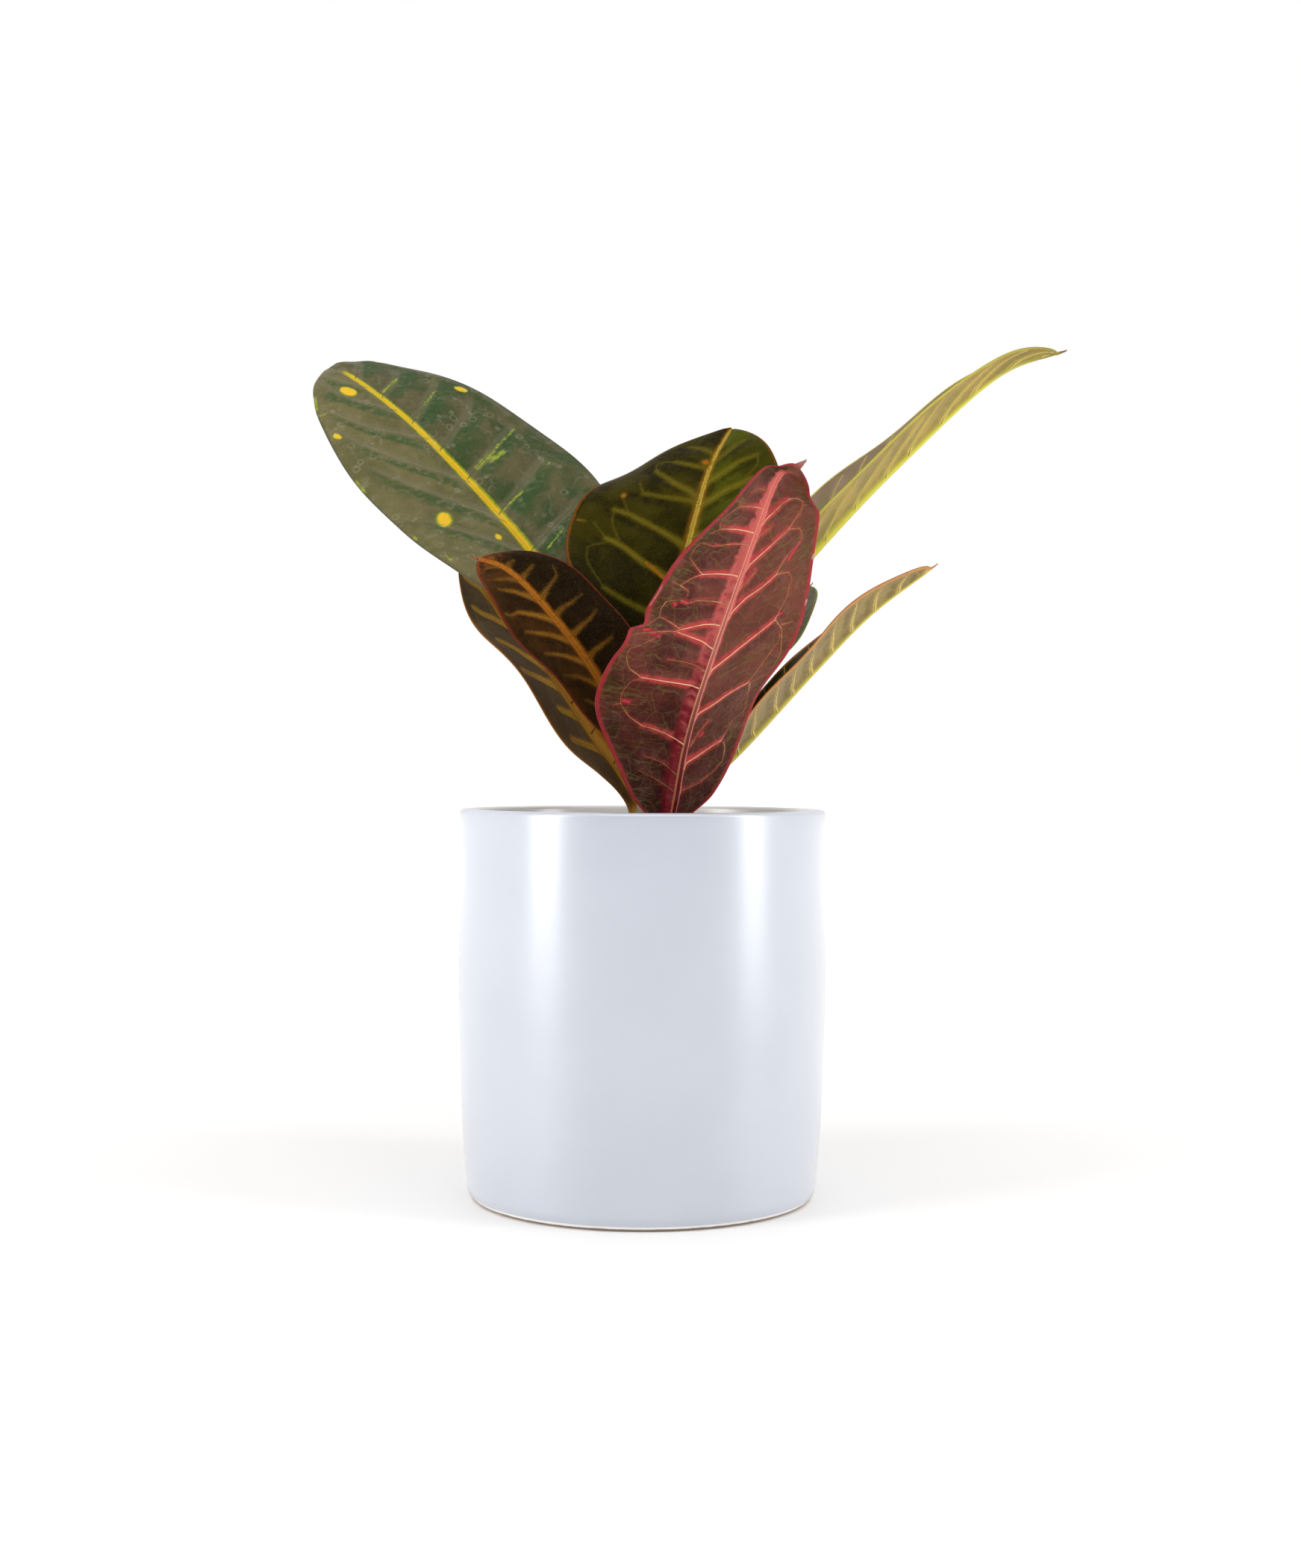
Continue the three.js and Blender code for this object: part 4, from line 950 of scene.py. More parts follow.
        "even": (0.12, 0.9, 10, 0.08, 0.82),
        "veinWidth": (0.8, 0.8), "haloWidth": (1.2, 0.9),
        "skin": {
            "left": ("#2c2a12", "#3c3018"), "right": ("#262a12", "#3a3418"),
            "under": ("#6a4c32", "#523a24"),
            "halo": ("#7a5a20", "#94703c"), "haloPower": 0.75, "shade": "#161407", "shadePower": 0.35,
            "ribEdge": ("#8c6420", "#966e30"), "ribCore": ("#c4923a", "#c49a50"), "ribWidth": 3.0,
            "veinLeft": "#a8802e", "veinRight": "#a8802e", "veinUnder": "#bd9656",
            "margin": ("#8c4a24", "#8c4a24"), "marginWidth": 0.7, "stalk": "#7c6430", "dust": 0.2,
        },
    },
    "leaf_young_front": {
        "seat": 154, "stalk": 6, "rib": 0.9, "stalkRadius": 1.0,
        "midrib": [(5.5, -1.5, 164), (9, -7, 176), (13, -13, 190)],
        "face": (-0.3, 0.6, 0.7), "twist": (0, 0, 0), "half": (5, 5), "peak": 0.45,
        "ends": (0.6, 0.8), "fold": (40, 34, 28), "curl": (0, 0), "wave": [(0.2, 0), (0.2, 0.3)],
        "grid": (80, 40), "quilt": 0.15,
        "even": (0.12, 0.88, 9, 0.07, 0.8),
        "veinWidth": (0.3, 0.35), "haloWidth": (0.4, 0.3),
        "skin": youngSkin,
    },
    "leaf_young_back": {
        "seat": 157, "stalk": 5, "rib": 0.8, "stalkRadius": 0.9,
        "midrib": [(6, 4, 167), (9, 4.5, 177), (12.5, 3.5, 186)],
        "face": (-0.7, -0.2, 0.6), "twist": (0, 0, 0), "half": (4, 4), "peak": 0.45,
        "ends": (0.6, 0.8), "fold": (42, 36, 30), "curl": (0, 0), "wave": [(0.2, 0), (0.2, 0.3)],
        "grid": (80, 36), "quilt": 0.15,
        "even": (0.12, 0.88, 8, 0.07, 0.8),
        "veinWidth": (0.3, 0.35), "haloWidth": (0.4, 0.3),
        "skin": youngSkin,
    },
}


class LeafSurface:
    # a leaf's two faces as a function of s, from the stalk's foot (-1) over the blade's base (0)
    # to its tip (1), and q, from the right margin (-1) to the left (1)
    def __init__(self, leaf):
        self.leaf = leaf
        self.points = [tuple(stemPoint(leaf["seat"])), *leaf["midrib"]]
        self.steps = np.linspace(0, 1, 401)
        path = catmullRom(self.points, self.steps)
        gaps = np.linalg.norm(np.diff(path, axis=0), axis=1)
        self.reached = np.concatenate([[0], np.cumsum(gaps)])
        self.length = self.reached[-1]
        self.stalkShare = leaf["stalk"] / self.length
        self.blade = self.length - leaf["stalk"]

    def middle(self, share):
        t = np.interp(np.clip(share, 0, 1) * self.length, self.reached, self.steps)
        return catmullRom(self.points, t)

    def frame(self, s):
        share = np.where(s < 0, self.stalkShare * (1 + s), self.stalkShare + (1 - self.stalkShare) * s)
        steady = leafForm["steady"]
        ahead = self.middle(np.minimum(share + steady, 1)) - self.middle(np.maximum(share - steady, 0))
        ahead /= np.linalg.norm(ahead, axis=-1, keepdims=True)
        face = np.array(self.leaf["face"], float)
        up = face - ahead * (ahead @ face)[..., None]
        up /= np.linalg.norm(up, axis=-1, keepdims=True)
        turn = np.radians(along(self.leaf["twist"], np.clip(s, 0, 1)))[..., None]
        up = up * np.cos(turn) - np.cross(ahead, up) * np.sin(turn)
        return self.middle(share), up, np.cross(up, ahead)

    def halfWidth(self, s, side):
        leaf = self.leaf
        place = np.minimum(s / leafForm["bladeEnd"], 1)
        before = np.clip((leaf["peak"] - place) / leaf["peak"], 0, 1)
        after = np.clip((place - leaf["peak"]) / (1 - leaf["peak"]), 0, 1)
        end = np.where(side > 0, leaf["ends"][1], leaf["ends"][-1])
        outline = (1 - before ** 2) ** leaf["ends"][0] * (1 - after ** 2) ** end
        width = np.where(side > 0, leaf["half"][0], leaf["half"][1]) * outline
        notch = leaf["notch"]
        if notch:
            stepOut = (1 + np.tanh((notch["at"] - s) / leafForm["notchStep"])) / 2
            below = (notch["at"] - s) / notch["reach"]
            above = 1 - 0.3 * np.clip(1 - below, 0, 1) ** 2
            swell = np.where(below < 1, above, np.exp(-(below - 1) ** 2))
            lobe = notch["step"] * stepOut * swell
            width = width + np.where(side < 0, lobe, 0)
        ending = np.sqrt(np.clip(1 - s, 0, 1))
        curl = leaf["tipCurl"] * np.exp(-((s - 0.972) / 0.018) ** 2) * np.minimum(ending / 0.12, 1)
        return width + leafForm["tipWidth"] * ending + curl

    def flat(self, s, q):
        # the blade laid flat: millimetres across and along
        place = np.clip(s, 0, 1)
        return np.stack([q * self.halfWidth(place, np.where(q < 0, -1, 1)), s * self.blade], -1)

    def surface(self, s, q, face, gap):
        # face is 1 for the upper face and -1 for the lower; gap is the distance to a side vein
        leaf = self.leaf
        place = np.clip(s, 0, 1)
        side = np.where(q < 0, -1.0, 1.0)
        size = np.abs(q)
        centre, up, left = self.frame(s)
        width = self.halfWidth(place, side)
        fold = np.radians(along(leaf["fold"], place))
        curl = np.radians(np.where(side > 0, leaf["curl"][0] or 0.1, leaf["curl"][1] or 0.1))
        out = width / curl * (np.sin(fold + curl * size) - np.sin(fold))
        over = width / curl * (np.cos(fold) - np.cos(fold + curl * size))
        lift = np.where(side > 0, leaf["wave"][0][0], leaf["wave"][1][0])
        start = np.where(side > 0, leaf["wave"][0][1], leaf["wave"][1][1])
        wave = np.sin(2 * np.pi * (leafForm["waves"] * place + start)) * np.sqrt(np.sin(np.pi * place))
        over = over + lift * size ** 2 * wave
        notch = leaf["notch"]
        if notch:
            below = (notch["at"] - place) / leafForm["notchBend"]
            bend = notch["lift"] * size ** 2 * below * np.exp(-below ** 2)
            over = over - np.where(side < 0, bend, 0)
        # the blade swells between its veins, which are ribs on the lower face
        swelling = leaf["quilt"] * (1 - np.exp(-(gap / leafForm["swellReach"]) ** 2))
        swelling = swelling * ease(width * (1 - size), 0, 4) * ease(out, 0.5, 4)
        deep, wide = leafForm["groove"]
        over = over + swelling - deep * np.exp(-(out / wide) ** 2) * (face > 0)
        thick = leafForm["thickness"] * (1 - 0.5 * ease(place, 0.94, 1))
        crest = np.clip(1 - (out / leafForm["ribHalfWidth"]) ** 2, 0, 1) ** 1.4
        high, wide = leafForm["veinSwell"]
        ridge = leaf["rib"] * (1 - leafForm["ribTaper"] * place) * crest
        ridge = ridge + high * np.exp(-(gap / wide) ** 2) * ease(out, 0, 2)
        over = over - np.where(face < 0, thick + ridge, 0)
        blade = centre + (side * out)[..., None] * left + over[..., None] * up
        # the round stalk, a little thicker where it leaves the stem
        angle = np.radians(leafForm["sideAngle"] * q)
        gone = np.clip(1 + s, 0, None) * leaf["stalk"]
        more, at, long = leafForm["stalkSwell"]
        radius = leaf["stalkRadius"] * (1 + more * np.exp(-((gone - at) / long) ** 2))
        stalk = centre + (radius * np.sin(angle))[..., None] * left
        stalk = stalk + (face * radius * np.cos(angle))[..., None] * up
        share = ease(s, *leafForm["flatten"])[..., None]
        return stalk * (1 - share) + blade * share

    def lay(self, lines):
        # notes the side veins as flat polylines, for the distances that relief and colour need
        starts, ends, main, power = [], [], [], []
        for line in lines:
            flat = self.flat(*np.array(line["points"]).T)
            starts.append(flat[:-1])
            ends.append(flat[1:])
            main += [line["main"]] * (len(flat) - 1)
            power += [line["power"]] * (len(flat) - 1)
        self.starts, self.ends = np.vstack(starts), np.vstack(ends)
        self.main, self.power = np.array(main), np.array(power)
        self.veins = lines

    def nearest(self, flat):
        # distances to the nearest side vein and fine vein, how far ahead of the first a place lies, and
        # that vein's power; a part at a time, to save memory
        shape = flat.shape[:-1]
        points = flat.reshape(-1, 2)
        gaps = [np.empty(len(points)) for _ in range(4)]
        step = self.ends - self.starts
        size = (step ** 2).sum(1)
        for first in range(0, len(points), 4000):
            taken = slice(first, first + 4000)
            part = points[taken]
            t = np.clip(((part[:, None] - self.starts) * step).sum(-1) / size, 0, 1)
            away = part[:, None] - self.starts - t[..., None] * step
            far = np.hypot(away[..., 0], away[..., 1])
            mains = np.where(self.main, far, 1e3)
            best = mains.argmin(1)
            rows = np.arange(len(part))
            gaps[0][taken] = mains[rows, best]
            gaps[1][taken] = np.where(self.main, 1e3, far).min(1)
            gaps[2][taken] = away[rows, best, 1]
            gaps[3][taken] = self.power[best]
        return [g.reshape(shape) for g in gaps]


def sideVeins(leaf):
    # every side vein as a line of (s, q) points with its power and whether it is a main one
    lines = []
    if "mains" in leaf:
        for points, power in leaf["mains"] + [(p, 0) for p in leaf["forks"]]:
            t = np.linspace(0, 1, 6 * (len(points) - 1) + 1)
            curved = catmullRom(points, t)
            knots = np.linspace(0, 1, len(points))
            straight = np.stack([np.interp(t, knots, axis) for axis in zip(*points)], -1)
            lines.append({"points": 0.3 * curved + 0.7 * straight, "main": power > 0, "power": power})
        return lines
    sides = {1: leaf.get("left"), -1: leaf.get("right")}
    if "even" in leaf:
        rng = np.random.default_rng(int(leaf["seat"]))
        first, last, number, rise, reach = leaf["even"]
        for side in sides:
            bases = np.linspace(first, last, number) + rng.uniform(-0.012, 0.012, number)
            sides[side] = [(base, rise * rng.uniform(0.85, 1.15), reach * rng.uniform(0.94, 1.04))
                           for base in bases]
    t = np.linspace(0, 1, 15)
    for side, rows in sides.items():
        ends = []
        for base, rise, reach in rows:
            bend = base + rise * (0.85 * t + 0.15 * t ** 3) + 0.0025 * np.sin(9 * t + 40 * base) * t
            lines.append({"points": np.stack([bend, side * reach * t], -1), "main": True, "power": 1})
            ends.append((bend[-1], reach))
        if leaf["plain"]:
            continue
        # loops from each vein's end to the next, and a fine vein halfway between
        for (fromS, fromQ), (toS, toQ) in zip(ends, ends[1:]):
            bow = fromQ + (toQ * 0.9 - fromQ) * t + 0.08 * np.sin(np.pi * t)
            arch = np.stack([fromS + (toS - fromS) * 0.82 * t, side * bow], -1)
            lines.append({"points": arch[::2], "main": False, "power": 0})
        for (base, rise, reach), (nextBase, *_) in zip(rows, rows[1:]):
            bend = (base + nextBase) / 2 + rise * (0.6 * t + 0.2 * t ** 2)
            halfway = np.stack([bend, side * reach * 0.62 * t], -1)
            lines.append({"points": halfway[::2], "main": False, "power": 0})
    return lines


def leafMesh(name, leaf, form, material):
    rings, columns = leaf["grid"]
    even = np.linspace(0, 1, rings + 1)
    crowded = even + leafForm["bladeCrowding"] * ((1 - np.cos(np.pi * even)) / 2 - even)
    blade = leaf["end"] * crowded
    places = np.concatenate([-1 + np.arange(leafForm["stalkRings"]) / leafForm["stalkRings"], blade])
    across = np.linspace(-1, 1, columns + 1)
    s, q = np.meshgrid(places, across, indexing="ij")
    flat = form.flat(s, q)
    main, fine, aheadOf, power = form.nearest(flat)
    upper = form.surface(s, q, 1, main)
    lower = form.surface(s, q, -1, main)
    _, _, left = form.frame(places)
    flare = 0.35 * leafForm["thickness"]
    stalkSide = leaf["stalkRadius"] * (1 - math.sin(math.radians(leafForm["sideAngle"])))
    bulge = np.where(places < leafForm["flatten"][0], stalkSide, flare)[:, None] * left
    leftEdge = (upper[:, -1] + lower[:, -1]) / 2 + bulge
    rightEdge = (upper[:, 0] + lower[:, 0]) / 2 - bulge
    loops = np.concatenate([upper[:, ::-1], rightEdge[:, None], lower, leftEdge[:, None]], 1)
    count = loops.shape[1]
    pointed = leaf["end"] == leafHabits["end"]
    tip = form.middle(1.0) if pointed else loops[-1].mean(0)
    points = np.vstack([loops.reshape(-1, 3), tip])
    made = newObject(name, points, [], loopFaces(len(places), count, True), material)

    # what the skin reads: place on the blade, distances to veins and margin, and marks
    upHalo, underHalo = leaf["haloWidth"]
    size = np.abs(q)
    web, webReach = leaf["web"]
    spread = 1 + web * np.exp(-np.abs(flat[..., 0]) / webReach)
    fields = {}
    upFine, underFine = leaf["fineHalo"]
    for face, width, around in ((1, upHalo, upFine), (-1, underHalo, underFine)):
        field = np.minimum(power * spread ** 0.6, 1) * np.exp(-(main / (width * spread)) ** 2)
        field = np.maximum(field, around * np.exp(-(fine / (0.6 * width)) ** 2))
        fields[face] = field * ease(s, 0.0, 0.06) * (1 - leaf["haloFade"] * ease(size, 0.35, 0.95))
    near, full, falling, gone = leaf["shadeBand"]
    shade = ease(main, near, full) * (1 - ease(main, falling, gone)) * (aheadOf < 0)
    shade = shade * ease(s, 0.0, 0.1) * ease(size, 0.04, 0.2) * (1 - ease(size, 0.6, 0.92))
    rim = form.halfWidth(np.clip(s, 0, 1), np.where(q < 0, -1, 1)) * (1 - size)
    spot = markField(leaf["spots"], form, flat)
    scar = markField(leaf["scars"], form, flat)

    def looped(values, lowerValues=None):
        # a field of both faces in the order of the loops' points, and its value at the tip
        lowerValues = values if lowerValues is None else lowerValues
        both = np.concatenate([values[:, ::-1], values[:, :1], lowerValues, values[:, -1:]], 1)
        return np.append(both.reshape(-1), both[-1].mean())

    ones = np.ones_like(s)
    edge = 0 * ones[:, :1]
    faces = np.append(np.concatenate([ones, edge, -ones, edge], 1).reshape(-1), 0)
    giveAttribute(made, "place", np.stack([looped(flat[..., 0]), looped(flat[..., 1]), faces], -1))
    giveAttribute(made, "veins", np.stack([looped(fields[1], fields[-1]), looped(shade), looped(rim)], -1))
    giveAttribute(made, "marks", np.stack([looped(spot), looped(scar), looped(s)], -1))
    return made


def markField(marks, form, flat):
    # round marks (s, q, length, width) fall from 1 at their middle to 0 at their rim, streaks
    # (s, q, s, q, width) fade from a line, and ovals with a last "oval" from two points
    field = np.zeros(flat.shape[:-1])
    for mark in marks:
        start = form.flat(np.array(mark[0]), np.array(mark[1]))
        if len(mark) == 4:
            far = np.hypot((flat[..., 0] - start[0]) / mark[3], (flat[..., 1] - start[1]) / mark[2])
            field = np.maximum(field, 1 - far)
            continue
        step = form.flat(np.array(mark[2]), np.array(mark[3])) - start
        share = np.clip(((flat - start) @ step) / (step @ step), 0, 1)
        far = np.linalg.norm(flat - start - share[..., None] * step, axis=-1)
        if "oval" in mark:
            far = np.linalg.norm(flat - start, axis=-1) + np.linalg.norm(flat - start - step, axis=-1)
            far = (far - np.linalg.norm(step)) / 2
        field = np.maximum(field, 0.62 * np.exp(-(far / mark[4]) ** 2))
    return field


def veinTree():
    # a low rounded ridge along each line, as wide and as steep as its points say
    names = {"Sides": "Int", "Flatness": "Float", "Material": "Material"}
    board, given, output = nodeGroup("veins", names)
    line = board.add("GeometryNodeMeshToCurve", {0: given["Geometry"]})
    rise = board.add("GeometryNodeInputNamedAttribute", {"Name": "rise"}, data_type="FLOAT_VECTOR")
    breadth = board.add("GeometryNodeInputNamedAttribute", {"Name": "breadth"}, data_type="FLOAT")
    turned = board.add("GeometryNodeSetCurveNormal", {0: line.outputs[0], "Normal": rise.outputs[0]},
                       mode="FREE")
    circle = board.add("GeometryNodeCurvePrimitiveCircle", {"Resolution": given["Sides"], "Radius": 1.0})
    scale = board.add("ShaderNodeCombineXYZ", {0: given["Flatness"], 1: 1.0, 2: 1.0})
    low = board.add("GeometryNodeTransform", {0: circle.outputs[0], "Scale": scale.outputs[0]})
    ridge = board.add("GeometryNodeCurveToMesh",
                      {"Curve": turned.outputs[0], "Profile Curve": low.outputs[0],
                       "Scale": breadth.outputs[0], "Fill Caps": True})
    smooth = board.add("GeometryNodeSetShadeSmooth", {0: ridge.outputs[0]})
    return finishTree(board, smooth.outputs[0], given["Material"], output)


ridgeTree = veinTree()


def steppedLine(form, s, q):
    # closer points beside the midrib, where the surface bends most
    flat = form.flat(s, q)
    far = np.concatenate([[0], np.cumsum(np.linalg.norm(np.diff(flat, axis=0), axis=1))])
    near = 3.0 if abs(flat[0, 0]) < 3 else 0.0
    close = np.arange(0, min(near, far[-1]), 0.3)
    steps = np.concatenate([close, np.arange(near, far[-1] - 0.3, 0.9), [far[-1]]])
    return np.interp(steps, far, s), np.interp(steps, far, q)


def veinRidges(name, leaf, form, material):
    points, edges, rises, breadths, tones = [], [], [], [], []
    for face, widest in ((1, leaf["veinWidth"][0]), (-1, leaf["veinWidth"][1])):
        for line in form.veins:      # the fine veins are too low to stand out above
            if face > 0 and not line["main"] and not leaf["loops"]:
                continue
            s, q = steppedLine(form, *np.array(line["points"]).T)
            kept = s < leaf["end"] - 0.008
            if face < 0:
                kept &= np.abs(form.flat(s, q)[:, 0]) > leaf["ribClear"]
            s, q = s[kept], q[kept]
            if len(s) < 3:
                continue
            gap = form.nearest(form.flat(s, q))[0]
            place = form.surface(s, q, face, gap)
            toTip = form.surface(s + 0.004, q, face, gap) - place
            toLeft = form.surface(s, q + 0.02, face, gap) - place
            rise = np.cross(toLeft, toTip)
            rise *= -face / np.linalg.norm(rise, axis=-1, keepdims=True)
            t = np.linspace(0, 1, len(s))
            if line["main"]:
                width = widest * line["power"] ** 0.6 * (1 - 0.55 * t + 0.25 * ease(t, 0.85, 1))
                tone = np.clip(1.1 * (1 - line["power"]) + 0.45 * t ** 1.5, 0, 1)
            else:
                width, tone = widest * (0.45 - 0.25 * t), 0.55 + 0.45 * t
            lift = 0.1 * width
            if face < 0:
                # raised over the hollow beside the midrib
                hollow = (np.abs(form.flat(s, q)[:, 0]) - 0.8 * leafForm["ribHalfWidth"]) / 0.8
                lift = np.maximum(lift, 0.12 * np.exp(-hollow ** 2))
            place = place + lift[:, None] * rise
            first = len(points)
            points += list(place)
            edges += [(first + k, first + k + 1) for k in range(len(s) - 1)]
            rises += list(rise)
            breadths += list(width / 2 * mm)
            tones += [(value, face, -1.0 if y < 0 else 1.0) for value, y in zip(tone, q)]
    lines = newObject(name + "_lines", points, edges, [])
    giveAttribute(lines, "rise", rises)
    giveAttribute(lines, "breadth", breadths)
    giveAttribute(lines, "tone", tones)
    return grown(lines, ridgeTree, name + "_veins", {**leafForm["ridge"], "Material": material})


def veinSkin(name, skin):
    paint = Paint(name + "_veins", Roughness=0.5, Specular_IOR_Level=0.12)
    tone, face, side = paint.split(paint.read("tone"))
    upper = paint.mix(paint.ease(side, -0.5, 0.5), skin["veinRight"], skin["veinLeft"])
    colour = paint.mix(paint.ease(face, 0.5, -0.5), upper, skin["veinUnder"])
    patches = paint.minus(paint.noise(paint.place(), 500, 2), 0.5)
    ending = paint.ease(paint.plus(tone, patches), 0.15, 0.85)
    colour = paint.mix(ending, colour, skin.get("veinEnd", skin["halo"][0]))
    paint.plug("Base Color", colour)
    return paint.material


# how the layers of every leaf's skin are laid: scales are for a blade in millimetres, reaches are places
# along it, and a pair says where a layer begins to show and where it is full

skinForm = {
    "faceGap": 9.0,                # sets the patterns of the two faces apart
    "faceEase": (0.4, -0.4),
    "sideEase": (-0.8, 0.8),
    "patches": (0.09, 4, 0.6),     # noises with their scale, detail and distortion
    "clouds": (0.45, 3),
    "grit": (2.6, 2),
    "patchEase": (0.36, 0.64),
    "tintEase": (9, 2),            # millimetres from the margin
    "warmPower": 0.3,
    # the painted shade towards a blade's base
    "lowReach": (0.6, 0.05),
    "lowPower": 0.75,
    "grainEase": (0.35, 0.7),
    "shadeEase": (0.3, 0.55),
    "netEase": (0.085, 0.015),
    "wideScale": 0.44,             # of the wide net beside the fine one
    "wideEase": (0.026, 0.008),
    "drawn": (0.05, 0.34),         # fine lines between the side veins, across and along
    "drawnEase": (0.02, 0.006),
    "drawnFrom": (4, 10),          # millimetres from the midrib
    "drawnPower": 0.42,
    "haloGrit": 0.55,
    "ribRagged": (0.6, 0.7),       # unevenness in clouds and in grit, as in the next ones
    "ribThinnest": 0.2,
    "ribEnding": 0.04,
    "grooveEase": (0.4, 0.1),
    "groovePower": 0.4,
    "crestRagged": (3.2, 1.6),
    "crestSlant": (1.1, 0.4),
    "crestSpread": 2.5,
    "deepReach": (0.68, 0.22),
    "deepWander": 0.9,
    "paleRatio": (1.0, 0.75),
    "paleFrom": (0.6, 1.0),
    "crestLow": (0.55, 0.1),
    "crestReach": (0.85, 0.5),
    "crest": (0.05, 1.05, 0.7),    # lines with their place beside the midrib and both half widths
    "crestPower": 0.9,
    "brightLine": (1.0, 0.26, 0.12),
    "thinLine": (-0.85, 0.3, 0.14),
    "glowWander": 0.25,
    "glowFull": 1.05,
    "marginPower": 0.95,
    "marginRagged": (1.2, 0.5),
    "marginEase": (1.3, 0.4),      # in widths of the margin
    "spotWander": 1.6,
    "scarFray": (2.4, 2.0),
    "specks": (3.6, 1),
    "speckEase": (0.68, 0.76),
    "speckPower": 0.7,
    "film": (0.22, 5, 1.2),
    "filmEase": (0.5, 0.72),
    "filmPower": 0.3,
    "dropScale": 0.26,
    "dropRing": (0.3, 0.09, 0.02),
    "dropPatches": (0.07, 2),
    "dropEase": (0.5, 0.62),
    "stalkReach": (0.04, -0.04),
    "tipReach": (0.965, 0.995),
    "roughness": (0.36, 0.16, 0.35),      # the least, and more with the clouds and with dust
    "relief": (0.35, 0.00012),            # share of the grit, and height in metres
}


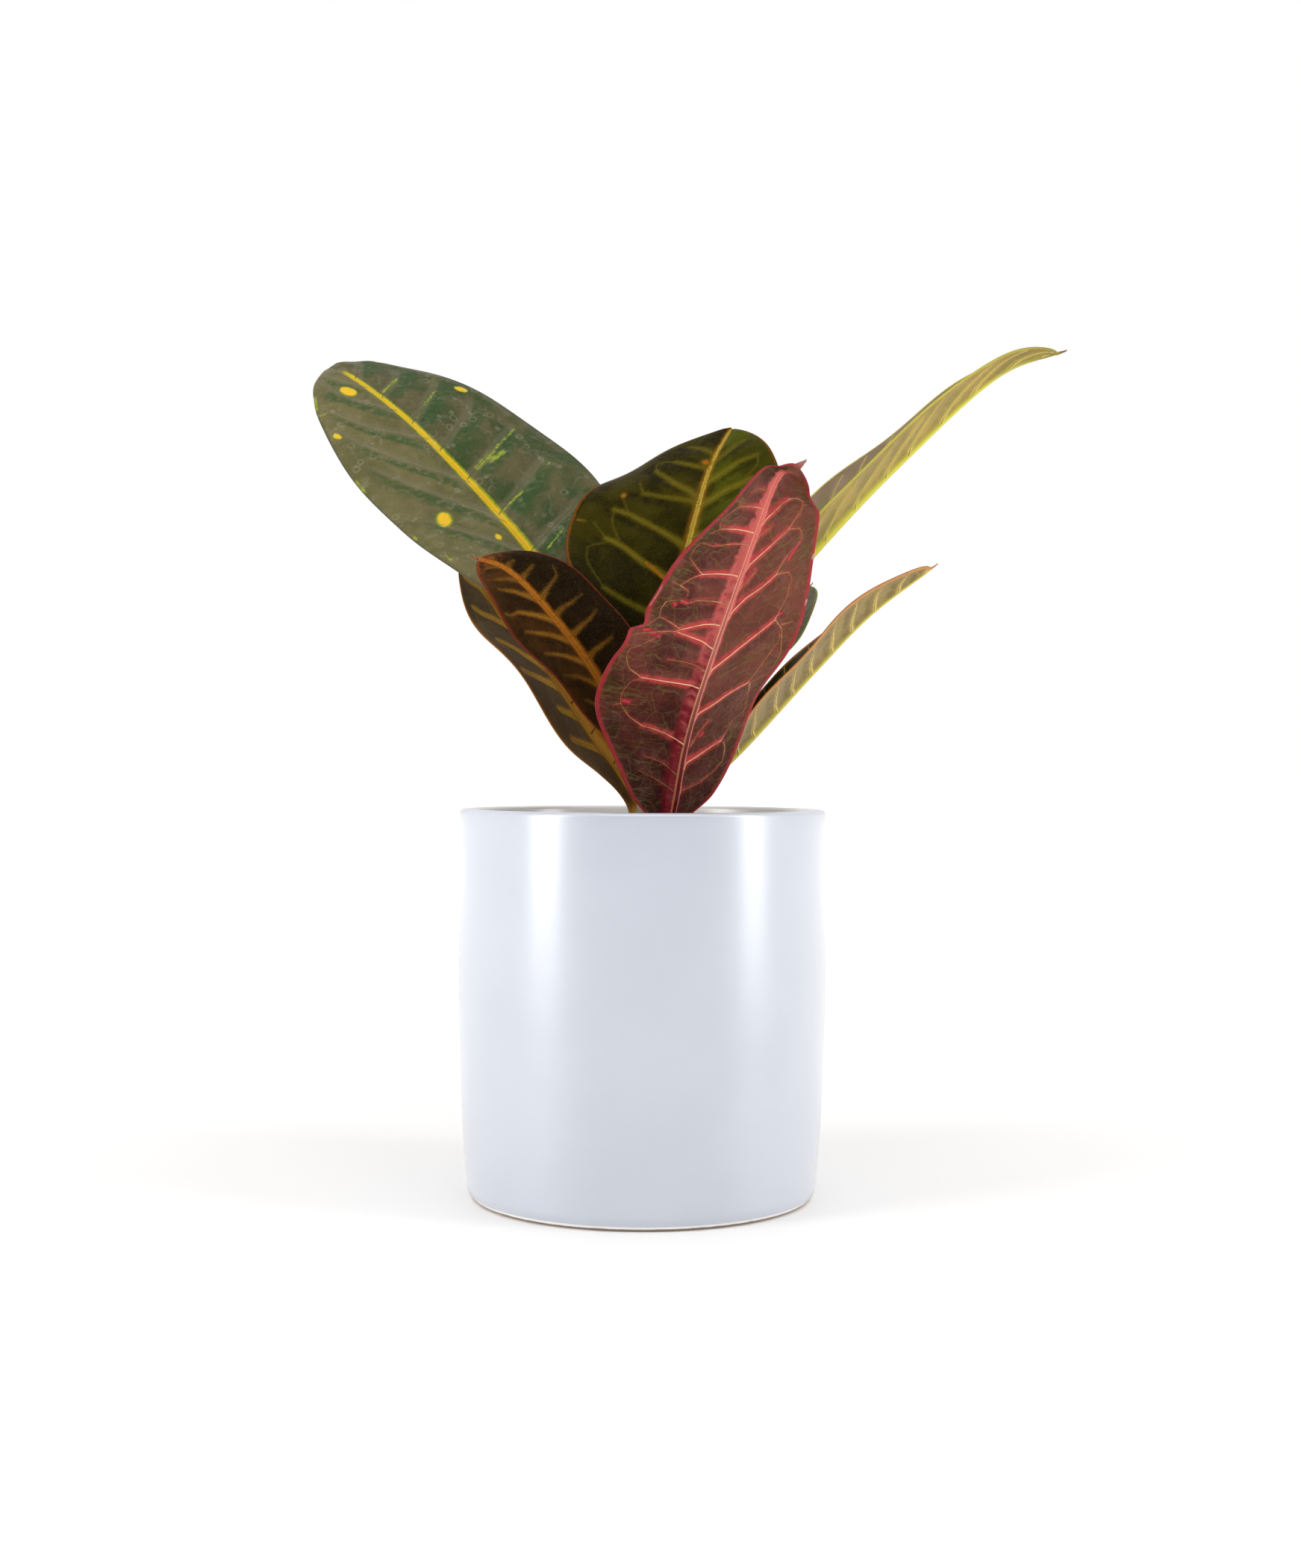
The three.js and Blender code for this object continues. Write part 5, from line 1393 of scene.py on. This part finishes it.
class LeafPaint(Paint):
    # the skin of one leaf, whose layers are laid over each other from the ground to the dust
    def __init__(self, name, skin):
        super().__init__(name + "_skin", Specular_IOR_Level=skin["shine"])
        v = skinForm
        self.skin = skin
        self.across, self.lengthwise, face = self.split(self.read("place"))
        self.halo, self.shade, self.rim = self.split(self.read("veins"))
        self.spot, self.scar, self.s = self.split(self.read("marks"))
        self.depth = self.times(face, v["faceGap"])
        self.flat = self.join(self.across, self.lengthwise, self.depth)
        self.under = self.ease(face, *v["faceEase"])
        self.left = self.ease(self.across, *v["sideEase"])
        self.size = self.absolute(self.across)
        self.middling = self.noise(self.flat, *v["clouds"])
        self.fine = self.noise(self.flat, *v["grit"])
        self.wobble = self.minus(self.middling, 0.5)
        self.grit = self.minus(self.fine, 0.5)

    def both(self, pair):
        # the colours of the upper and the lower face
        return self.mix(self.under, *pair)

    def over(self, factor, colour):
        self.colour = self.mix(factor, self.colour, colour)

    def uneven(self, amounts, share=1.0):
        clouds, grit = amounts
        return self.plus(self.times(self.wobble, clouds * share), self.times(self.grit, grit * share))

    def band(self, value, middle, outer, inner):
        # full where a value is near the middle, and gone beyond the outer distance
        return self.ease(self.absolute(self.minus(value, middle)), outer, inner)

    def layGround(self):
        v, skin = skinForm, self.skin
        broad = self.ease(self.noise(self.flat, *v["patches"]), *v["patchEase"])
        right, left, under = [self.mix(broad, *skin[part]) for part in ("right", "left", "under")]
        self.colour = self.mix(self.under, self.mix(self.left, right, left), under)
        if "edgeTint" in skin:
            self.over(self.times(self.ease(self.rim, *v["tintEase"]), broad), skin["edgeTint"])
        if "warm" in skin:
            self.over(self.times(self.left, v["warmPower"]), skin["warm"])
        # painted shade: the blade darkens towards its base
        if "low" in skin:
            self.over(self.times(self.ease(self.s, *v["lowReach"]), v["lowPower"]), skin["low"])
        grain = self.times(self.ease(self.fine, *v["grainEase"]), skin["grain"])
        self.over(grain, self.both(skin["halo"]))
        patchy = self.times(self.shade, self.ease(self.middling, *v["shadeEase"]))
        self.over(self.times(patchy, skin["shadePower"]), skin["shade"])

    def layNets(self):
        # the nets of veinlets, and fine lines between the side veins
        v, skin = skinForm, self.skin
        netPower, widePower = skin["netPower"]
        colour = skin.get("net", skin["halo"][0])
        drift = self.join(self.wobble, self.middling, 0.0)
        bent = self.add("ShaderNodeVectorMath", {0: self.flat, 1: drift}, operation="ADD").outputs[0]
        self.net = self.cells(bent, skin["netScale"])
        self.over(self.times(self.ease(self.net, *v["netEase"]), netPower), colour)
        wide = self.cells(bent, v["wideScale"] * skin["netScale"])
        self.over(self.times(self.ease(wide, *v["wideEase"]), widePower), colour)
        if "lean" in skin:
            right, more = skin["lean"][0], skin["lean"][1] - skin["lean"][0]
            slope = self.plus(self.times(self.left, more), right)
            upward = self.minus(self.lengthwise, self.times(self.size, slope))
            acrossScale, alongScale = v["drawn"]
            place = self.join(self.times(self.across, acrossScale), self.times(upward, alongScale),
                              self.depth)
            lines = self.band(self.noise(place, 1.0, 2), 0.5, *v["drawnEase"])
            lines = self.times(lines, self.ease(self.size, *v["drawnFrom"]))
            self.over(self.times(lines, v["drawnPower"]), colour)

    def layHaloes(self):
        # colour round the side veins
        skin = self.skin
        blotchy = self.times(self.halo, self.plus(1.0, self.times(self.wobble, skin["blotch"])))
        speckled = self.plus(blotchy, self.times(self.grit, skinForm["haloGrit"] * skin["ragged"]))
        factor = self.times(self.ease(speckled, *skin["haloEase"]), skin["haloPower"])
        self.over(factor, self.both(skin["halo"]))

    def layMidrib(self):
        v, skin = skinForm, self.skin
        taper = self.times(self.s, skin["ribTaper"] * skin["ribWidth"])
        if "ribSide" in skin:
            taper = self.times(taper, self.times(self.s, self.times(self.s, self.s)))
            straight, more = v["crestSlant"]
            off = self.times(self.size, self.plus(straight, self.times(self.left, more)))
            off = self.plus(off, self.uneven(v["crestRagged"]))
        else:
            off = self.plus(self.size, self.uneven(v["ribRagged"], skin["ragged"]))
        half = self.math("MAXIMUM", self.minus(0.5 * skin["ribWidth"], taper), v["ribThinnest"])
        ratio = self.math("DIVIDE", off, half)
        shown = self.ease(self.s, skin["ribEnd"], skin["ribEnd"] - v["ribEnding"])
        edge = self.both(skin["ribEdge"])
        if "ribDeep" in skin:
            wandering = self.plus(self.s, self.times(self.wobble, v["deepWander"]))
            edge = self.mix(self.ease(wandering, *v["deepReach"]), edge, skin["ribDeep"])
        self.over(self.times(self.ease(ratio, *skin["ribFade"]), shown), edge)
        if "ribSide" in skin:
            self.layCrest(ratio, shown)
        else:
            core = self.times(self.ease(ratio, *skin["coreFade"]), shown)
            self.over(core, self.both(skin["ribCore"]))
            groove = self.times(self.ease(self.size, *v["grooveEase"]), self.minus(1.0, self.under))
            groove = self.times(self.times(groove, v["groovePower"]), shown)
            self.over(groove, self.both(skin["ribEdge"]))

    def layCrest(self, ratio, shown):
        # a midrib seen from below: a pale band, a dull crest, a bright line and a thin one
        v, skin = skinForm, self.skin
        widening = self.times(self.times(self.s, self.s), v["crestSpread"])
        spread = self.times(self.across, self.plus(1.0, widening))
        pale = self.times(self.ease(ratio, *v["paleRatio"]), self.ease(spread, *v["paleFrom"]))
        self.over(self.times(pale, shown), self.both(skin["ribSide"]))
        low = self.ease(self.s, *v["crestLow"])
        fading = self.ease(self.s, *v["crestReach"])
        crest = self.times(self.times(self.band(spread, *v["crest"]), fading), v["crestPower"])
        self.over(crest, self.mix(low, skin["crest"][1], skin["crest"][0]))
        self.over(self.times(self.band(spread, *v["brightLine"]), fading), self.both(skin["ribLine"]))
        thinColour = self.mix(low, self.both(skin["ribCore"]), self.both(skin["ribLow"]))
        self.over(self.times(self.band(spread, *v["thinLine"]), shown), thinColour)

    def layMargin(self):
        v, skin = skinForm, self.skin
        power = v["marginPower"]
        if "tipGlow" in skin:
            glow = self.plus(self.s, self.times(self.wobble, v["glowWander"] * skin["ragged"]))
            glow = self.ease(glow, skin["glowFrom"], v["glowFull"])
            self.over(glow, skin["tipGlow"])
            power = self.minus(power, self.times(glow, skin["glowOver"]))
        edge = self.plus(self.rim, self.uneven(v["marginRagged"], skin["ragged"]))
        outer, inner = [skin["marginWidth"] * share for share in v["marginEase"]]
        self.over(self.times(self.ease(edge, outer, inner), power), self.both(skin["margin"]))

    def layMarks(self):
        # spots and scars
        v, skin = skinForm, self.skin
        rimColour, middleColour = skin["spot"]
        rimmed, inside, full = skin["spotEase"]
        spotted = self.times(self.spot, self.plus(1.0, self.times(self.wobble, v["spotWander"])))
        upper = self.minus(1.0, self.times(self.under, skin["spotFade"]))
        self.over(self.times(self.ease(spotted, 0.0, rimmed), upper), rimColour)
        self.over(self.times(self.ease(spotted, inside, full), upper), middleColour)
        scarred = self.times(self.scar, self.plus(1.0, self.uneven(v["scarFray"])))
        self.over(self.ease(scarred, *skin["scarEase"]), skin["scar"])

    def layDust(self):
        v, skin = skinForm, self.skin
        specks = self.times(self.ease(self.noise(self.flat, *v["specks"]), *v["speckEase"]), v["speckPower"])
        film = self.times(self.ease(self.noise(self.flat, *v["film"]), *v["filmEase"]), v["filmPower"])
        self.dust = self.plus(specks, film)
        if "rings" in skin:
            # dried drops of water
            ring = self.band(self.cells(self.flat, v["dropScale"], "F1"), *v["dropRing"])
            where = self.ease(self.noise(self.flat, *v["dropPatches"]), *v["dropEase"])
            self.dust = self.plus(self.dust, self.times(self.times(ring, where), skin["rings"]))
        self.over(self.times(self.dust, skin["dust"]), skin["speck"])

    def layEnds(self):
        skin = self.skin
        self.over(self.ease(self.s, *skinForm["stalkReach"]), skin["stalk"])
        self.over(self.ease(self.s, *skinForm["tipReach"]), skin.get("tip", skin["margin"][0]))


def leafSkin(name, skin):
    paint = LeafPaint(name, skin)
    paint.layGround()
    paint.layNets()
    paint.layHaloes()
    paint.layMidrib()
    paint.layMargin()
    paint.layMarks()
    paint.layDust()
    paint.layEnds()
    paint.plug("Base Color", paint.colour)
    least, cloudy, dusty = skinForm["roughness"]
    rough = paint.plus(paint.times(paint.middling, cloudy), paint.times(paint.dust, dusty * skin["dust"]))
    paint.plug("Roughness", paint.plus(rough, least))
    share, height = skinForm["relief"]
    relief = paint.plus(paint.times(paint.fine, share), paint.ease(paint.net, 0.0, 0.2))
    paint.bump(relief, height, skin["relief"])
    return paint.material


for name, values in leaves.items():
    leaf = {**leafHabits, **values}
    skin = {**skinHabits, **leaf["skin"]}
    form = LeafSurface(leaf)
    form.lay(sideVeins(leaf))
    blade = leafMesh(name + "_blade", leaf, form, leafSkin(name, skin))
    ridges = veinRidges(name, leaf, form, veinSkin(name, skin))
    stand(joined([blade, ridges], name + "_grown"), name)
print("leaves made")


# floor, sky and lights

floorValues = {
    "size": 6000,
    "colours": ("#f3f1ef", "#f7f5f3"),
    "glow": (0.06, 0.17, 0.6),      # lifts the near, middle and far floor to the backdrop's white
    "middle": (0.1, 0.32),
    "far": (0.5, 1.7),
    "drop": 0.2,
}


def makeFloor():
    v = floorValues
    paint = Paint("floor", Roughness=0.6, Emission_Color=(1, 1, 1, 1))
    paint.plug("Base Color", paint.mix(paint.noise(paint.place(), 1.5, 2), *v["colours"]))
    away = paint.add("ShaderNodeVectorMath", {0: paint.place()}, operation="LENGTH").outputs["Value"]
    near, middle, far = v["glow"]
    glow = paint.plus(near, paint.times(paint.ease(away, *v["middle"]), middle - near))
    glow = paint.plus(glow, paint.times(paint.ease(away, *v["far"]), far - middle))
    paint.plug("Emission Strength", glow)
    half = v["size"]
    corners = [(x * half, y * half, -v["drop"]) for x, y in ((-1, -1), (1, -1), (1, 1), (-1, 1))]
    floor = newObject("floor", corners, [], [(0, 1, 2, 3)], paint.material)


skyValues = {
    "behind": (1.0, 1.0, 1.0, 1),
    "front": (0.13, 0.145, 0.165, 1),     # the dim side, which the middle of the pot reflects
    "turning": (-0.3, -0.9),
    "strength": 0.9,
    "seen": (1, 1, 1, 1),                 # what the camera sees behind the floor
}


def makeSky():
    v = skyValues
    world = bpy.data.worlds.new("studio")
    world.use_nodes = True
    scene.world = world
    board = Board(world.node_tree)
    background = world.node_tree.nodes["Background"]
    direction = board.add("ShaderNodeTexCoord").outputs["Generated"]
    frontness = board.add("ShaderNodeSeparateXYZ", {0: direction}).outputs[1]
    first, last = v["turning"]
    share = board.add("ShaderNodeMapRange", {0: frontness, 1: first, 2: last},
                      interpolation_type="SMOOTHSTEP")
    colour = board.add("ShaderNodeMix", {0: share.outputs[0], 6: v["behind"], 7: v["front"]},
                       data_type="RGBA")
    world.node_tree.links.new(colour.outputs[2], background.inputs[0])
    background.inputs[1].default_value = v["strength"]
    seen = board.add("ShaderNodeBackground", {0: v["seen"], 1: 1.0})
    ray = board.add("ShaderNodeLightPath").outputs["Is Camera Ray"]
    either = board.add("ShaderNodeMixShader", {0: ray, 1: background.outputs[0], 2: seen.outputs[0]})
    world.node_tree.links.new(either.outputs[0], world.node_tree.nodes["World Output"].inputs[0])


lightValues = {
    "softbox_left": {"place": (-1.1, -0.64, 0.45), "aim": 0.12, "size": (0.45, 1.1), "power": 8.3},
    "softbox_right": {"place": (1.1, -0.4, 0.45), "aim": 0.12, "size": (0.36, 1.1), "power": 6.0},
    "softbox_top": {"place": (0.05, -0.55, 1.1), "aim": 0.1, "size": (0.9, 0.7), "power": 2.3},
}


def softbox(name, place, aim, size, power):
    # an area light that faces the pot's axis at the height aim
    data = bpy.data.lights.new(name, "AREA")
    data.shape = "RECTANGLE"
    data.size, data.size_y = size
    data.energy = power
    light = bpy.data.objects.new(name, data)
    scene.collection.objects.link(light)
    light.location = Vector(place)
    light.rotation_euler = (Vector((0, 0, aim)) - Vector(place)).to_track_quat("-Z", "Y").to_euler()


makeFloor()
makeSky()
for name, values in lightValues.items():
    softbox(name, **values)
scene.view_settings.view_transform = "Standard"
print("stage made")
